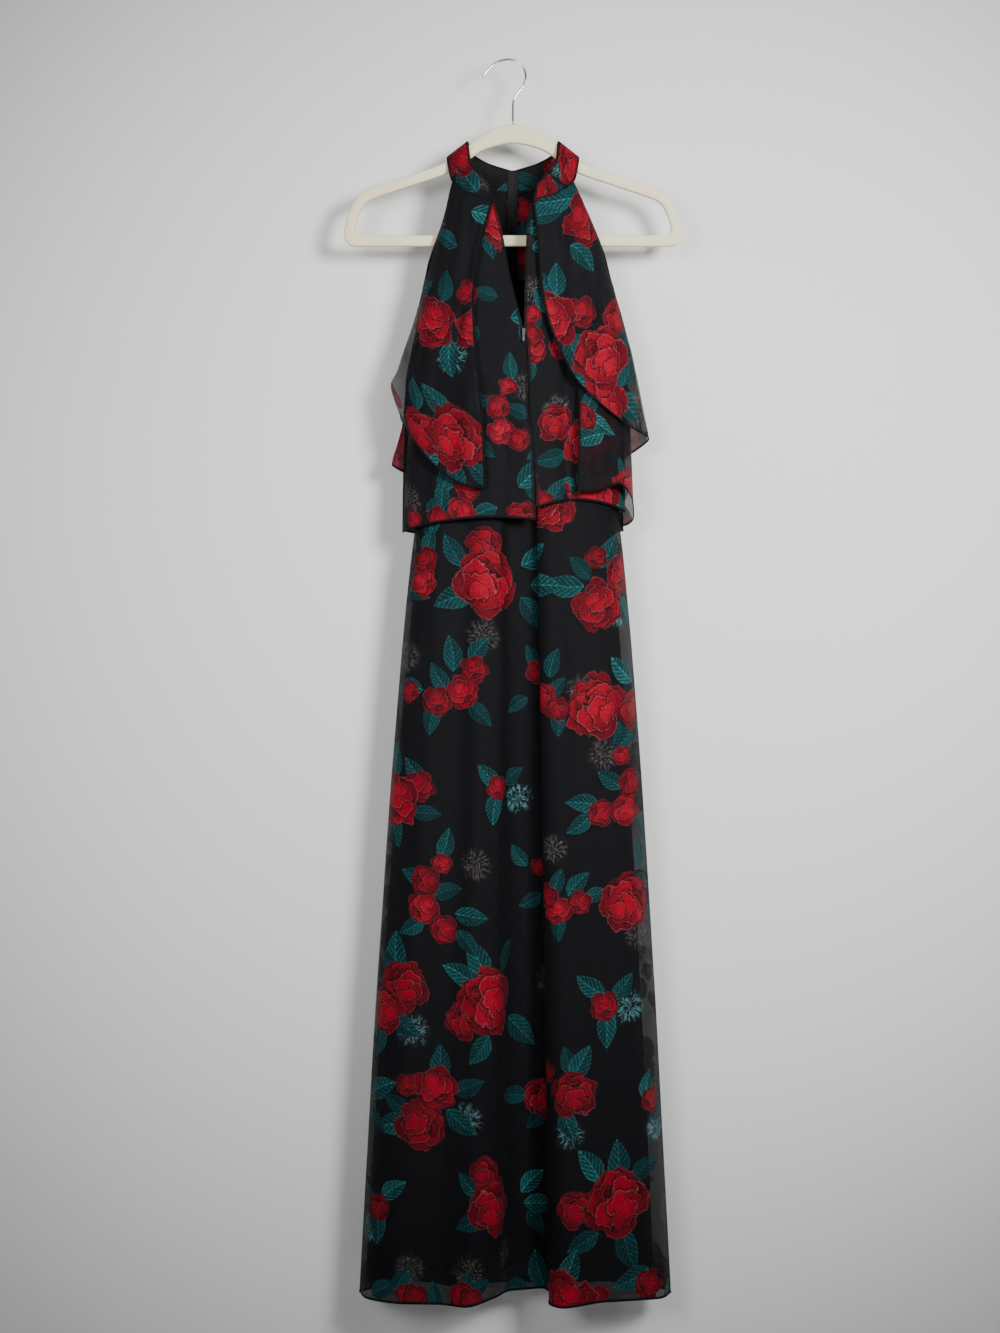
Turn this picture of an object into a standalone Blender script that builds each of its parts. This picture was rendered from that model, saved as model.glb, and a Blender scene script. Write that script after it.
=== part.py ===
"""Maxi dress on a hanger.

A sheer printed halter maxi dress hangs on a slim moulded hanger. World frame:
+Z up, the front of the dress faces -Y, and the origin is the inner top of the
hanger's hook, where a rail holds it. Tables below are in millimetres, measured
from the dress's centre line; everything is written to the scene in metres.
"""
import math

import bmesh
import bpy
from mathutils import Vector

# ---------------------------------------------------------------- sizes (mm)
MM = 0.001
CENTRE_X = 4.0            # the dress's centre line lies this far to the side of the hook's top
CLOTH = 1.2               # wall of every sheer or lining panel
BAND = 2.4                # wall of the folded, interfaced collar band
SEAM = 0.4                # clear gap between two panels that are sewn together
NECK_DROP = 2.3           # panels start this far under the collar band

WAIST_Z = -560.0          # top of the skirt, hidden under the bodice's loose hem
HEM_Z = -1645.0
LINING_HEM_Z = -1622.0
FLARE = 0.68              # growth of the skirt from waist to hem: share = fraction ** FLARE

HOOK_WIRE = 3.2
HANGER_THICK = 9.0

ZIP_WIDTH = 13.0
ZIP_TOP_Z = -139.0
ZIP_BOTTOM_Z = -560.0

# ------------------------------------------------------------------- tables
# Collar band, left half, from the front opening round over the hanger's arm to
# the centre back. Columns: name, top edge x y z, bottom edge x y z.
COLLAR = [
    ("front_edge", -32.0, -36.0, -172.0, -26.0, -38.0, -197.0),
    ("front",      -46.0, -31.0, -155.0, -57.0, -34.0, -187.0),
    ("front_side", -55.5, -19.0, -139.0, -81.0, -19.0, -166.0),
    ("arm_front",  -59.0,  -8.0, -114.0, -87.5, -8.0, -139.5),
    ("shoulder",   -59.5,   0.0, -107.6, -88.5,  0.0, -130.2),
    ("arm_back",   -58.0,   8.0, -112.0, -86.5,  8.0, -138.5),
    ("back_side",  -52.5,  19.0, -121.0, -80.0, 18.5, -160.0),
    ("back",       -32.0,  31.0, -130.0, -46.0, 32.5, -168.0),
    ("back_edge",   -3.6,  35.0, -138.0,  -3.6, 36.0, -170.0),
]

NECK_SHARE = 2.0 / 8.0    # the band's own front (or back) two spans carry the panels

# Depth of the body's front and back at each height, for the inner bodice and
# for the loose cape over it.
# Columns: z, bodice front, cape front, bodice back, cape back.
DEPTH = [
    (-160.0, 36.0, 40.5, 34.0, 38.5),
    (-205.0, 37.0, 42.0, 34.5, 40.0),
    (-250.0, 40.0, 48.0, 35.5, 44.0),
    (-330.0, 44.0, 54.0, 37.0, 47.0),
    (-410.0, 46.0, 58.0, 39.0, 50.0),
    (-480.0, 48.0, 60.0, 41.0, 52.0),
    (-560.0, 50.0, 62.0, 43.0, 54.0),
    (-660.0, 52.0, 64.0, 45.0, 56.0),
]

# Half outlines. Columns: z, bodice left, bodice right, cape left, cape right.
OUTLINE = [
    (-160.0,  -74.0,  76.0,  -81.0,  81.0),
    (-205.0,  -78.0,  86.0,  -89.0,  98.0),
    (-250.0,  -84.0,  97.0, -104.0, 118.0),
    (-330.0, -104.0, 121.0, -127.0, 142.0),
    (-410.0, -132.0, 144.0, -153.0, 163.0),
    (-432.0, -134.0, 145.5, -163.0, 168.0),
    (-483.0, -137.0, 147.5, -158.0, 177.0),
    (-510.0, -141.0, 149.0, -158.0, 183.0),
    (-560.0, -145.0, 150.5, -160.0, 181.0),
    (-660.0, -148.0, 148.0, -160.0, 181.0),
]

# How far each layer's outer edge stands from the hanger's plane: open along
# the armhole, closed at the side seam. Columns: z, bodice, cape.
EDGE = [
    (-160.0, 16.0, 18.0),
    (-205.0, 15.0, 15.5),
    (-262.0, 12.0, 12.0),
    (-300.0, 10.0, 0.35),
    (-400.0, 1.5, 0.35),
    (-412.0, 0.35, 0.35),
    (-660.0, 0.35, 0.35),
]

# Panels: rows run from the collar seam down to the hem. Columns: inner edge
# x z, outer edge x z, sag of the row's middle (the first row follows the collar).
BODICE_FRONT_LEFT = [
    ("neck",        -26.0, -199.0,  -77.0, -168.0, 0.0),
    ("upper_slit",  -20.0, -216.0,  -79.0, -205.0, 0.0),
    ("slit",        -13.0, -243.0,  -84.0, -250.0, 0.0),
    ("lower_slit",   -4.0, -294.0, -103.0, -328.0, 0.0),
    ("slit_base",    13.0, -363.0, -122.0, -380.0, 0.0),
    ("armhole",      18.5, -395.0, -132.0, -412.0, 0.0),
    ("under_bust",   20.5, -475.0, -137.0, -483.0, 0.0),
    ("waist",        26.0, -524.0, -142.5, -530.0, 0.0),
    ("hem",          29.8, -618.0, -147.0, -631.0, 9.0),
]
BODICE_FRONT_RIGHT = [
    ("neck",         22.0, -199.0,   80.0, -168.0, 0.0),
    ("upper_slit",   19.0, -218.0,   86.0, -205.0, 0.0),
    ("slit",         17.2, -243.0,   97.0, -250.0, 0.0),
    ("lower_slit",   15.6, -300.0,  120.5, -328.0, 0.0),
    ("slit_base",    14.2, -363.0,  136.0, -382.0, 0.0),
    ("armhole",      19.3, -395.0,  144.5, -412.0, 0.0),
    ("under_bust",   21.3, -475.0,  147.5, -483.0, 0.0),
    ("waist",        26.8, -524.0,  149.5, -530.0, 0.0),
    ("hem",          30.6, -602.0,  149.0, -604.0, 12.0),
]
BODICE_BACK = [
    ("neck",          3.6, -172.0,   76.0, -163.0, 0.0),
    ("shoulder",      3.6, -230.0,   85.0, -205.0, 0.0),
    ("blade",         3.6, -320.0,  106.0, -300.0, 0.0),
    ("armhole",       3.6, -420.0,  139.0, -412.0, 0.0),
    ("waist",         3.6, -530.0,  146.0, -530.0, 0.0),
    ("hem",           3.6, -624.0,  148.0, -628.0, -6.0),
]
CAPE_FRONT_LEFT = [
    ("neck",        -28.0, -200.0,  -82.0, -170.0, 0.0),
    ("upper",       -38.5, -242.0,  -93.0, -215.0, -4.0),
    ("chest",       -46.0, -282.0, -113.0, -272.0, -6.0),
    ("front_turn",  -51.0, -325.0, -128.0, -334.0, -4.0),
    ("side_swell",  -48.0, -395.0, -153.0, -410.0, 0.0),
    ("side_point",  -43.5, -440.0, -163.0, -432.0, -4.0),
    ("side_return", -38.0, -500.0, -158.8, -452.0, -16.0),
    ("hem",         -35.5, -576.0, -156.5, -484.0, -28.0),
]
CAPE_FRONT_RIGHT = [
    ("neck",         24.0, -200.0,   82.0, -170.0, 0.0),
    ("upper",        31.0, -246.0,   99.0, -205.0, -4.0),
    ("chest",        36.0, -312.0,  121.0, -258.0, -4.0),
    ("diagonal_1",   45.0, -356.0,  138.0, -318.0, 0.0),
    ("diagonal_2",   58.0, -390.0,  153.0, -370.0, 0.0),
    ("diagonal_3",   74.0, -422.0,  167.0, -430.0, 0.0),
    ("hem",          91.0, -443.0,  182.6, -506.0, -7.0),
]
CAPE_BACK_LEFT = [
    ("neck",          5.6, -172.0,   81.0, -163.0, 0.0),
    ("shoulder",      5.6, -225.0,   94.0, -218.0, 0.0),
    ("blade",         5.6, -300.0,  113.0, -272.0, 0.0),
    ("swell",         5.6, -390.0,  153.0, -410.0, 0.0),
    ("point",         5.6, -430.0,  163.0, -432.0, 0.0),
    ("return",        5.6, -480.0,  158.0, -486.0, -8.0),
    ("hem",           5.6, -545.0,  159.5, -541.0, -18.0),
]
CAPE_BACK_RIGHT = [
    ("neck",          5.6, -172.0,   81.0, -163.0, 0.0),
    ("shoulder",      5.6, -225.0,   98.0, -205.0, 0.0),
    ("blade",         5.6, -300.0,  121.0, -258.0, 0.0),
    ("swell",         5.6, -390.0,  153.0, -370.0, 0.0),
    ("point",         5.6, -470.0,  174.0, -470.0, 0.0),
    ("hem",           5.6, -552.0,  182.6, -507.0, -22.0),
]

# The cascade: a loose fall of the bodice's edge at the right side, round to
# the back. Columns: name, top x y z, bottom x y z.
CASCADE = [
    ("front_fold",  86.0, -46.5, -428.0,  84.5, -55.0, -580.0),
    ("front",      112.0, -40.0, -433.0, 112.0, -53.0, -579.0),
    ("turn",       136.0, -28.0, -438.0, 140.0, -45.0, -570.0),
    ("side_front", 152.0, -14.0, -443.0, 157.0, -24.0, -586.0),
    ("side",       155.0,   1.0, -447.0, 161.5,   2.0, -611.0),
    ("side_back",  150.0,  13.0, -450.0, 154.0,  20.0, -619.0),
    ("back_fold",  141.0,  21.0, -453.0, 139.0,  34.0, -622.0),
]

# Skirt, in plan, from the left side across the front to the right side. The
# deep centre fold is the recess; the right lobe's edge stands over it.
# Columns: name, waist x y, hem x y.
SKIRT_FRONT = [
    ("side_left",    -118.0,  -0.3, -205.0,  -0.3),
    ("left_turn",    -110.0, -19.0, -194.0, -27.0),
    ("left_front",    -84.0, -32.0, -155.0, -49.0),
    ("left_trough",   -56.0, -32.0,  -96.0, -41.0),
    ("left_lobe",     -36.0, -36.0,  -58.0, -56.0),
    ("lobe_edge",     -13.0, -35.0,  -23.0, -43.0),
    ("recess_left",    -3.0, -30.0,   -7.0,  -2.0),
    ("recess",        10.0, -27.0,   16.0,  13.0),
    ("recess_right",  23.0, -27.0,   41.0,   7.0),
    ("fold_wall",     28.5, -31.0,   49.5, -15.0),
    ("fold_edge",     29.0, -37.0,   47.5, -40.0),
    ("right_lobe",    44.0, -40.0,   68.0, -57.0),
    ("right_front",   82.0, -36.0,  120.0, -54.0),
    ("right_turn",   119.0, -21.0,  192.0, -32.0),
    ("side_right",   131.0,  -0.3,  211.0,  -0.3),
]
LINING_FRONT = [
    ("side_left",    -110.0,  -0.6, -196.0,  -0.6),
    ("left_turn",    -101.0, -14.0, -184.0, -21.0),
    ("left_front",    -80.0, -23.0, -148.0, -39.0),
    ("left_trough",   -57.0, -23.0,  -99.0, -31.0),
    ("left_lobe",     -38.0, -27.0,  -62.0, -44.0),
    ("lobe_edge",     -16.0, -25.0,  -36.0, -35.0),
    ("recess_left",    -6.0, -21.0,  -18.0,   4.0),
    ("recess",        10.0, -19.0,   16.0,  22.0),
    ("recess_right",  24.0, -19.0,   50.0,  16.0),
    ("fold_wall",     31.0, -21.0,   60.0,  -9.0),
    ("fold_edge",     36.0, -25.0,   62.0, -31.0),
    ("right_lobe",    48.0, -29.0,   76.0, -46.0),
    ("right_front",   80.0, -26.0,  116.0, -43.0),
    ("right_turn",   108.0, -15.0,  172.0, -24.0),
    ("side_right",   119.0,  -0.6,  188.0,  -0.6),
]
SKIRT_BACK = [
    ("side_left",    -118.0,   0.3, -205.0,   0.3),
    ("left_turn",    -110.0,  17.0, -192.0,  26.0),
    ("left_back",     -84.0,  29.0, -150.0,  46.0),
    ("left_trough",   -56.0,  31.0,  -98.0,  42.0),
    ("left_lobe",     -30.0,  34.0,  -52.0,  58.0),
    ("centre",          2.0,  32.0,    4.0,  50.0),
    ("right_lobe",    36.0,  34.0,   60.0,  58.0),
    ("right_trough",  62.0,  31.0,  104.0,  43.0),
    ("right_back",    92.0,  28.0,  156.0,  46.0),
    ("right_turn",   122.0,  16.0,  198.0,  26.0),
    ("side_right",   131.0,   0.3,  211.0,   0.3),
]
LINING_BACK = [
    ("side_left",    -110.0,   0.6, -196.0,   0.6),
    ("left_turn",    -101.0,  11.0, -182.0,  17.0),
    ("left_back",     -78.0,  20.0, -144.0,  32.0),
    ("left_lobe",     -32.0,  23.0,  -54.0,  36.0),
    ("centre",          2.0,  22.0,    4.0,  35.0),
    ("right_lobe",    38.0,  23.0,   60.0,  36.0),
    ("right_back",    86.0,  19.0,  136.0,  32.0),
    ("right_turn",   110.0,  11.0,  176.0,  16.0),
    ("side_right",   119.0,   0.6,  188.0,   0.6),
]

# Hanger frame, right half, from the crown round to the middle of the bar.
# Columns: name, outer x z, inner x z.
HANGER = [
    ("crown",         0.0,  -85.0,   0.0, -111.0),
    ("crown_side",   22.0,  -89.5,  17.0, -113.0),
    ("neck",         50.0, -106.5,  43.5, -122.0),
    ("shoulder",     87.0, -135.0,  82.0, -148.5),
    ("arm",         140.0, -154.5, 136.5, -168.0),
    ("arm_end",     190.0, -170.0, 183.5, -184.0),
    ("tip",         209.5, -184.0, 198.5, -193.0),
    ("tip_down",    221.5, -210.0, 208.0, -213.0),
    ("bar_end",     225.5, -233.0, 210.5, -227.0),
    ("bar_corner",  220.0, -245.0, 205.0, -233.6),
    ("bar_start",   206.0, -248.4, 190.0, -233.6),
    ("bar",         100.0, -248.4, 100.0, -233.6),
    ("bar_middle",    0.0, -248.4,   0.0, -233.6),
]

# Hook wire's centre line, from the ball end over the top and down the stem.
# Columns: x z (from the hook's top).
HOOK = [
    (-35.5, -20.5), (-30.0, -13.5), (-23.0, -6.2), (-13.0, -0.4), (0.0, 1.6),
    (11.0, -2.2), (18.6, -11.0), (21.0, -22.5), (17.5, -34.5), (10.5, -43.5),
    (5.5, -51.5), (4.0, -61.0), (4.0, -84.4),
]

# Zip sliders with a hanging pull tab. Columns: name, centre x, z of the
# slider's middle, outward direction (-1 front, +1 back), y of its cloth.
SLIDERS = [
    ("front_zip", 13.6, -369.0, -1.0),
    ("back_zip",   0.0, -155.0,  1.0),
]
SLIDER = {"wide": 4.6, "tall": 8.0, "deep": 2.6}
PULL = {"wide": 3.2, "tall": 14.0, "deep": 0.9, "stand": 0.9}

# -------------------------------------------------------------- colours
MATERIALS = {
    # name: (colour, roughness, metallic)
    "printed_chiffon": ((0.016, 0.016, 0.020, 1.0), 0.78, 0.0),
    "black_lining":    ((0.006, 0.006, 0.007, 1.0), 0.62, 0.0),
    "hanger_flock":    ((0.72, 0.68, 0.52, 1.0), 0.90, 0.0),
    "chrome_wire":     ((0.62, 0.62, 0.64, 1.0), 0.18, 1.0),
    "zip_tape_cloth":  ((0.010, 0.010, 0.012, 1.0), 0.70, 0.0),
    "zip_metal":       ((0.30, 0.30, 0.31, 1.0), 0.30, 1.0),
}


# ------------------------------------------------------------- small tools
def table_at(table, key, column):
    """Value of a column at a height, between the table's rows (z falls)."""
    if key >= table[0][0]:
        return table[0][column]
    for upper, lower in zip(table, table[1:]):
        if key >= lower[0]:
            t = (upper[0] - key) / (upper[0] - lower[0])
            t = t * t * (3.0 - 2.0 * t) * 0.5 + t * 0.5
            return upper[column] + (lower[column] - upper[column]) * t
    return table[-1][column]


def spline(points, t):
    """Point at t in 0..1 along a soft curve through the points (any length)."""
    spans = len(points) - 1
    place = min(max(t, 0.0), 1.0) * spans
    i = min(int(place), spans - 1)
    f = place - i
    p1, p2 = points[i], points[i + 1]
    p0 = points[i - 1] if i > 0 else [2 * a - b for a, b in zip(p1, p2)]
    p3 = points[i + 2] if i + 2 <= spans else [2 * b - a for a, b in zip(p1, p2)]
    out = []
    for a, b, c, d in zip(p0, p1, p2, p3):
        m1 = 0.42 * (c - a)
        m2 = 0.42 * (d - b)
        out.append((2 * f ** 3 - 3 * f ** 2 + 1) * b + (f ** 3 - 2 * f ** 2 + f) * m1
                   + (3 * f ** 2 - 2 * f ** 3) * c + (f ** 3 - f ** 2) * m2)
    return out


def material(name):
    mat = bpy.data.materials.new(name)
    mat.use_nodes = True
    shader = mat.node_tree.nodes["Principled BSDF"]
    colour, rough, metal = MATERIALS[name]
    shader.inputs["Base Color"].default_value = colour
    shader.inputs["Roughness"].default_value = rough
    shader.inputs["Metallic"].default_value = metal
    mat.diffuse_color = colour
    return mat


def add_object(name, mesh, mat, parent, origin=(0.0, 0.0, 0.0)):
    obj = bpy.data.objects.new(name, mesh)
    bpy.context.scene.collection.objects.link(obj)
    mesh.materials.append(mat)
    obj.location = Vector(origin)
    obj.parent = parent
    return obj


def finish_mesh(bm, name, smooth=True):
    bmesh.ops.recalc_face_normals(bm, faces=bm.faces)
    mesh = bpy.data.meshes.new(name)
    bm.to_mesh(mesh)
    bm.free()
    if smooth:
        mesh.shade_smooth()
        mesh.set_sharp_from_angle(angle=math.radians(50))
    return mesh


def cloth(name, grid, mat, parent, wall=CLOTH):
    """A closed wall of cloth on a grid of points in mm (rows of equal length)."""
    rows, cols = len(grid), len(grid[0])
    pts = [[Vector((p[0] + CENTRE_X, p[1], p[2])) for p in row] for row in grid]
    bm = bmesh.new()
    sides = []
    for sign in (1.0, -1.0):
        layer = []
        for r in range(rows):
            line = []
            for c in range(cols):
                across = pts[r][min(c + 1, cols - 1)] - pts[r][max(c - 1, 0)]
                down = pts[min(r + 1, rows - 1)][c] - pts[max(r - 1, 0)][c]
                normal = across.cross(down).normalized()
                line.append(bm.verts.new((pts[r][c] + normal * (sign * wall / 2)) * MM))
            layer.append(line)
        sides.append(layer)
    front, back = sides
    for r in range(rows - 1):
        for c in range(cols - 1):
            for layer in sides:
                bm.faces.new((layer[r][c], layer[r][c + 1],
                              layer[r + 1][c + 1], layer[r + 1][c]))
    rim = ([(0, c) for c in range(cols)]
           + [(r, cols - 1) for r in range(1, rows)]
           + [(rows - 1, c) for c in range(cols - 2, -1, -1)]
           + [(r, 0) for r in range(rows - 2, 0, -1)])
    for (r0, c0), (r1, c1) in zip(rim, rim[1:] + rim[:1]):
        bm.faces.new((front[r0][c0], front[r1][c1], back[r1][c1], back[r0][c0]))
    return add_object(name, finish_mesh(bm, name), mat, parent)


# ----------------------------------------------------------- dress surfaces
def layer_y(x, z, layer, facing):
    """Depth of the bodice (layer 0) or the cape (layer 1) at x and height z."""
    left = x < 0
    half = abs(table_at(OUTLINE, z, (1 if left else 2) + 2 * layer))
    centre = table_at(DEPTH, z, 1 + layer + (0 if facing < 0 else 2))
    edge = table_at(EDGE, z, 1 + layer)
    reach = min(abs(x) / half, 1.0)
    return facing * (edge + (centre - edge) * (1.0 - reach ** 2.8) ** 0.55)


def collar_curve(lower, reverse_from_back=False):
    first = 4 if lower else 1
    return [row[first:first + 3] for row in COLLAR]


def panel(table, across, down, layer, facing, side, folds=()):
    """Grid of a bodice or cape panel: inner edge to outer edge, neck to hem.

    side is -1 for the left, +1 for the right; front tables give signed x.
    """
    signed = facing < 0
    seam = collar_curve(True)
    grid = []
    for r in range(down):
        v = r / (down - 1)
        xi, zi, xo, zo, sag = spline([row[1:] for row in table], v)
        if not signed:
            xi, xo = side * xi, side * xo
        line = []
        for c in range(across):
            u = c / (across - 1)
            w = math.sin(u * math.pi / 2) ** 0.9         # finer towards the side
            x = xi + (xo - xi) * w
            z = zi + (zo - zi) * w + sag * 4.0 * w * (1.0 - w)
            # near the neck a row follows the collar's lower edge
            near = max(0.0, 1.0 - v / 0.16)
            if near > 0.0:
                share = w * NECK_SHARE if facing < 0 else 1.0 - w * NECK_SHARE
                sx, sy, sz = spline(seam, share)
                x += near * (side * abs(sx) * 0.985 - x)
                z += near * (sz - NECK_DROP - (zi + (zo - zi) * w))
            y = layer_y(x, z, layer, facing)
            for place, width, deep, top in folds:
                fade = min(max((top - z) / 60.0, 0.0), 1.0)
                y -= facing * deep * fade * math.exp(-((u - place) / width) ** 2)
            line.append((x, y, z))
        grid.append(line)
    return grid


def gown(table, across, down, hem_z, even=1.0):
    """Grid of a skirt or lining part from a plan table, waist to hem."""
    names = [row[1:] for row in table]
    grid = []
    for r in range(down):
        f = (r / (down - 1)) ** even
        share = f ** FLARE
        z = WAIST_Z + (hem_z - WAIST_Z) * f
        plan = [(wx + (hx - wx) * share, wy + (hy - wy) * share)
                for wx, wy, hx, hy in names]
        grid.append([tuple(spline(plan, c / (across - 1))) + (z,)
                     for c in range(across)])
    return grid


def half_of(grid, side, gap):
    """Left or right half of a grid, cut at its middle column with a gap."""
    middle = len(grid[0]) // 2
    out = []
    for row in grid:
        keep = row[:middle + 1] if side < 0 else row[middle:]
        keep = list(keep)
        i = -1 if side < 0 else 0
        x, y, z = keep[i]
        keep[i] = (x + side * gap / 2, y, z)
        out.append(keep)
    return out


def ruled(table, across, down, mirror=1.0):
    """Grid between the top and bottom curves of a table."""
    top = [(mirror * r[1], r[2], r[3]) for r in table]
    low = [(mirror * r[4], r[5], r[6]) for r in table]
    grid = []
    for r in range(down):
        v = r / (down - 1)
        line = []
        for c in range(across):
            a = spline(top, c / (across - 1))
            b = spline(low, c / (across - 1))
            line.append(tuple(p + (q - p) * v for p, q in zip(a, b)))
        grid.append(line)
    return grid


# ------------------------------------------------------------ hard pieces
def hanger_mesh():
    half = [row[1:] for row in HANGER]
    loop = half + [(-ox, oz, -ix, iz) for ox, oz, ix, iz in reversed(half[1:-1])]
    t = HANGER_THICK / 2
    # section between the inner edge (0) and the outer edge (1), rounded corners
    section = [(0.0, -0.45), (0.18, -1.0), (0.82, -1.0), (1.0, -0.45),
               (1.0, 0.45), (0.82, 1.0), (0.18, 1.0), (0.0, 0.45)]
    bm = bmesh.new()
    rings = []
    for ox, oz, ix, iz in loop:
        rings.append([bm.verts.new(Vector((ix + (ox - ix) * a + CENTRE_X, b * t,
                                           iz + (oz - iz) * a)) * MM)
                      for a, b in section])
    for ring, following in zip(rings, rings[1:] + rings[:1]):
        for i in range(8):
            j = (i + 1) % 8
            bm.faces.new((ring[i], ring[j], following[j], following[i]))
    return finish_mesh(bm, "hanger")


def hook_object(mat, parent):
    curve = bpy.data.curves.new("hook", "CURVE")
    curve.dimensions = "3D"
    curve.bevel_depth = HOOK_WIRE / 2 * MM
    curve.bevel_resolution = 2
    curve.use_fill_caps = True
    line = curve.splines.new("POLY")
    count = 32
    points = [spline(HOOK, i / (count - 1)) for i in range(count)]
    line.points.add(count - 1)
    for target, (x, z) in zip(line.points, points):
        target.co = (x * MM, 0.0, z * MM, 1.0)
    obj = bpy.data.objects.new("hook", curve)
    bpy.context.scene.collection.objects.link(obj)
    curve.materials.append(mat)
    obj.parent = parent
    return obj


def box_mesh(name, low, high, bevel):
    bm = bmesh.new()
    bmesh.ops.create_cube(bm, size=1.0)
    for v in bm.verts:
        v.co = Vector([(low[i] + high[i]) / 2 + v.co[i] * (high[i] - low[i])
                       for i in range(3)]) * MM
    bmesh.ops.bevel(bm, geom=list(bm.edges), offset=bevel * MM, segments=2,
                    affect="EDGES", profile=0.5)
    return finish_mesh(bm, name, smooth=False)


def pull_mesh(name, facing):
    """Flat tab with a rounded end, its pivot at the top; hangs down."""
    w, tall, deep = PULL["wide"] / 2, PULL["tall"], PULL["deep"] / 2
    outline = [(-w * 0.62, 0.68), (w * 0.62, 0.68), (w, -tall + w)]
    outline += [(w * math.cos(a), -tall + w + w * math.sin(a))
                for a in [-math.pi * i / 8 for i in range(1, 8)]]
    outline += [(-w, -tall + w)]
    bm = bmesh.new()
    face = bm.faces.new([bm.verts.new(Vector((x, -deep, z)) * MM) for x, z in outline])
    grown = bmesh.ops.extrude_face_region(bm, geom=[face])
    moved = [g for g in grown["geom"] if isinstance(g, bmesh.types.BMVert)]
    bmesh.ops.translate(bm, verts=moved, vec=Vector((0.0, 2 * deep * MM, 0.0)))
    return finish_mesh(bm, name, smooth=False)


def zip_tape_grid():
    count = 18
    grid = []
    for i in range(count):
        z = ZIP_TOP_Z + (ZIP_BOTTOM_Z - ZIP_TOP_Z) * i / (count - 1)
        y = table_at(DEPTH, z, 3) - 1.3
        grid.append([(x, y, z) for x in (-ZIP_WIDTH / 2, 0.0, ZIP_WIDTH / 2)])
    return grid


# ----------------------------------------------------------------- build
def main():
    for obj in list(bpy.data.objects):
        bpy.data.objects.remove(obj, do_unlink=True)

    root = bpy.data.objects.new("dress_on_hanger", None)
    bpy.context.scene.collection.objects.link(root)
    mats = {name: material(name) for name in MATERIALS}
    chiffon, lining = mats["printed_chiffon"], mats["black_lining"]

    # hanger and hook
    add_object("hanger", hanger_mesh(), mats["hanger_flock"], root)
    hook_object(mats["chrome_wire"], root)

    # collar band, two halves: open at the front, meeting the zip at the back
    cloth("collar_left", ruled(COLLAR, 17, 4), chiffon, root, BAND)
    cloth("collar_right", ruled(COLLAR, 17, 4, mirror=-1.0), chiffon, root, BAND)

    # inner bodice with its loose hem
    cloth("bodice_front_left",
          panel(BODICE_FRONT_LEFT, 10, 15, 0, -1, -1), chiffon, root)
    cloth("bodice_front_right",
          panel(BODICE_FRONT_RIGHT, 10, 15, 0, -1, 1,
                folds=((0.42, 0.10, 3.0, -240.0),)), chiffon, root)
    cloth("bodice_back_left",
          panel(BODICE_BACK, 9, 13, 0, 1, -1), chiffon, root)
    cloth("bodice_back_right",
          panel(BODICE_BACK, 9, 13, 0, 1, 1), chiffon, root)

    # outer cape
    cloth("cape_front_left",
          panel(CAPE_FRONT_LEFT, 11, 14, 1, -1, -1,
                folds=((0.22, 0.10, 3.0, -260.0),)), chiffon, root)
    cloth("cape_front_right",
          panel(CAPE_FRONT_RIGHT, 11, 13, 1, -1, 1), chiffon, root)
    cloth("cape_back_left",
          panel(CAPE_BACK_LEFT, 9, 11, 1, 1, -1,
                folds=((0.45, 0.12, 3.0, -240.0),)), chiffon, root)
    cloth("cape_back_right",
          panel(CAPE_BACK_RIGHT, 9, 11, 1, 1, 1,
                folds=((0.45, 0.12, 3.0, -240.0),)), chiffon, root)
    cloth("cascade_right", ruled(CASCADE, 13, 6), chiffon, root)

    # skirt over its plain lining
    cloth("skirt_front", gown(SKIRT_FRONT, 37, 13, HEM_Z), chiffon, root)
    back = gown(SKIRT_BACK, 21, 12, HEM_Z)
    cloth("skirt_back_left", half_of(back, -1, SEAM), chiffon, root)
    cloth("skirt_back_right", half_of(back, 1, SEAM), chiffon, root)
    cloth("lining_front", gown(LINING_FRONT, 31, 10, LINING_HEM_Z), lining, root)
    cloth("lining_back", gown(LINING_BACK, 17, 10, LINING_HEM_Z), lining, root)

    # centre-back zip tape, inside the two bodice backs and the collar's ends
    cloth("zip_tape", zip_tape_grid(), mats["zip_tape_cloth"], root, 1.0)

    # zip sliders, each with a pull tab that swings on the slider's bridge
    for name, x, z, facing in SLIDERS:
        if facing < 0:
            surface = table_at(DEPTH, z, 1) + CLOTH / 2 + 0.4
            y0 = -surface
        else:
            surface = table_at(DEPTH, z, 3) - 0.2
            y0 = surface
        x += CENTRE_X
        half_w, half_t = SLIDER["wide"] / 2, SLIDER["tall"] / 2
        y1 = y0 + facing * SLIDER["deep"]
        low = (x - half_w, min(y0, y1), z - half_t)
        high = (x + half_w, max(y0, y1), z + half_t)
        add_object(name + "_slider", box_mesh(name + "_slider", low, high, 0.5),
                   mats["zip_metal"], root)
        pivot = Vector((x, y1 + facing * PULL["stand"], z + 1.0)) * MM
        add_object(name + "_pull", pull_mesh(name + "_pull", facing),
                   mats["zip_metal"], root, pivot)


main()
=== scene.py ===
import math

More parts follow.
